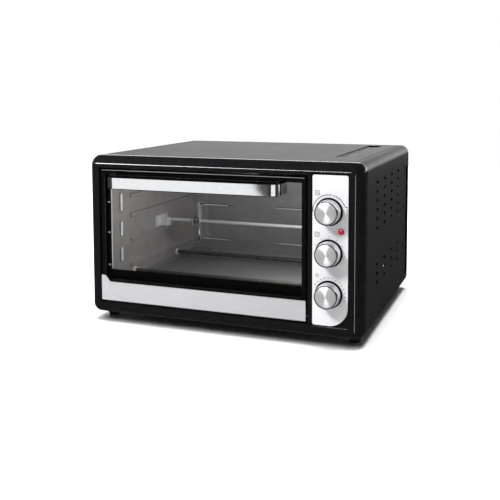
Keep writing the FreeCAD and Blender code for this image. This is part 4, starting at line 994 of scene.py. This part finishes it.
def make_floor():
    """Pale matt table top."""
    half, front, back = 2.6, -1.05, 2.6
    floor = made("floor", [lofted([[(-half, front, z), (half, front, z), (half, back, z), (-half, back, z)]
                                   for z in (-4 * MM, 0)])])
    material, tree, shader, place = start_material("pale_matt_table", {"Specular IOR Level": 0.1})
    fibres = add_node(tree, "ShaderNodeTexNoise", {"Vector": place, "Scale": 1 / (30 * MM), "Detail": 3.0})
    vary(tree, shader, fibres.outputs["Fac"], ("#f4f4f4", "#ffffff"), (0.8, 0.9))
    floor.data.materials.append(material)
    # a card under the table's height lights the bright metal, and black gloss doesn't mirror the table
    floor.visible_glossy = False
    floor.visible_shadow = False


def gathered(name, materials, start=""):
    """Collection of what has one of these materials and a name that begins so, for its own lamps."""
    chosen = bpy.data.collections.new(name)
    for thing in bpy.context.scene.objects:
        if thing.type != "MESH" or not thing.name.startswith(start):
            continue
        if any(material in materials for material in thing.data.materials):
            chosen.objects.link(thing)
    return chosen


def make_lights():
    middle = (0, 0, 0.14)
    faces = {material for material in bpy.data.materials if material.name.startswith("spun")}
    metals = gathered("bright_metals", {chrome, fascia_steel, trim_steel, zinc})
    bezel = gathered("bezel_gloss", {gloss_black}, "front_frame")
    door = gathered("door_gloss", {gloss_black}, "door_frame")
    knob_faces = gathered("knob_faces", faces | {lens_red})
    inside_pieces = gathered("oven_inside", {liner_sheet, shaded_back_sheet, shaded_tray_sheet, sheath, ceramic,
                                             matt_zinc, rod_zinc, zinc})
    tray = gathered("tray", {shaded_tray_sheet})
    panel = gathered("control_panel", {fascia_steel})
    bar = gathered("handle_chrome", {chrome}, "handle")
    table = gathered("table", set(bpy.data.objects["floor"].data.materials), "floor")
    sun = bpy.data.lights.new("room_light", "SUN")
    sun.energy = 3.6
    sun.angle = math.radians(70)
    room = bpy.data.objects.new("room_light", sun)
    bpy.context.scene.collection.objects.link(room)
    room.visible_glossy = False
    aim(room, (-0.5, -0.5, 2.0), (0, 0, 0))
    above_left = (-0.55, -1.05, 1.10)
    top_edge = (0, -0.2, 0.24)
    softbox("key", above_left, top_edge, (1.1, 0.55), 90, bezel)
    softbox("door_key", above_left, top_edge, (1.1, 0.55), 22, door)
    softbox("face_key", above_left, (0.18, -0.2, 0.14), (1.5, 0.8), 75, knob_faces)
    # the panel's lamp is small, so that the knobs throw a shadow
    softbox("panel_key", above_left, (0.18, -0.18, 0.14), (0.35, 0.35), 52, panel, False)
    softbox("right_strip", (1.35, -0.75, -0.1), middle, (0.30, 1.3), 14, bezel)
    softbox("table_light", (0, 0, 2.6), (0, 0, 0), (1.6, 1.6), 112, table, False)
    softbox("chrome_card", (-0.86, -1.70, -0.05), (-0.1, 0, 0.2), (0.85, 1.1), 2.9, metals)
    softbox("chrome_side_card", (0.86, -1.14, 0.1), (0.1, -0.2, 0.2), (1.0, 0.8), 2.4, bar)
    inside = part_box("cavity_roof")
    softbox("cavity_light", (inside[1].x - 0.06, inside[0].y + 0.02, inside[0].z - 0.012),
            (inside[0].x, 0.0, 0.1), (0.2, 0.03), 1.0, inside_pieces)
    softbox("tray_light", (inside[1].x - 0.03, inside[0].y + 0.06, 0.13), (inside[1].x - 0.03, 0.0, 0.0),
            (0.05, 0.05), 0.5, tray, False)


def make_camera():
    lens = bpy.data.cameras.new("camera")
    lens.lens = 55.08
    lens.sensor_width = 36
    lens.shift_y = -0.2
    camera = bpy.data.objects.new("camera", lens)
    bpy.context.scene.collection.objects.link(camera)
    turn = Matrix.Rotation(math.radians(20.985), 3, "Z") @ Matrix.Rotation(math.radians(85.431), 3, "X")
    roll = Matrix.Rotation(math.radians(-0.185), 3, "Z")
    camera.matrix_world = Matrix.Translation((0.477, -1.2747, 0.3901)) @ (turn @ roll).to_4x4()
    bpy.context.scene.camera = camera


shape_copies = copies_tree()
make_case()
make_cable_gland()
make_rear_screws(shape_copies)
make_cavity()
make_heating()
make_rack_stops()
make_rotisserie()
make_door()
make_handle()
make_handle_screws(shape_copies)
make_controls(dots_tree())
make_world()
make_floor()
make_lights()
make_camera()
bpy.context.scene.view_settings.view_transform = "Standard"
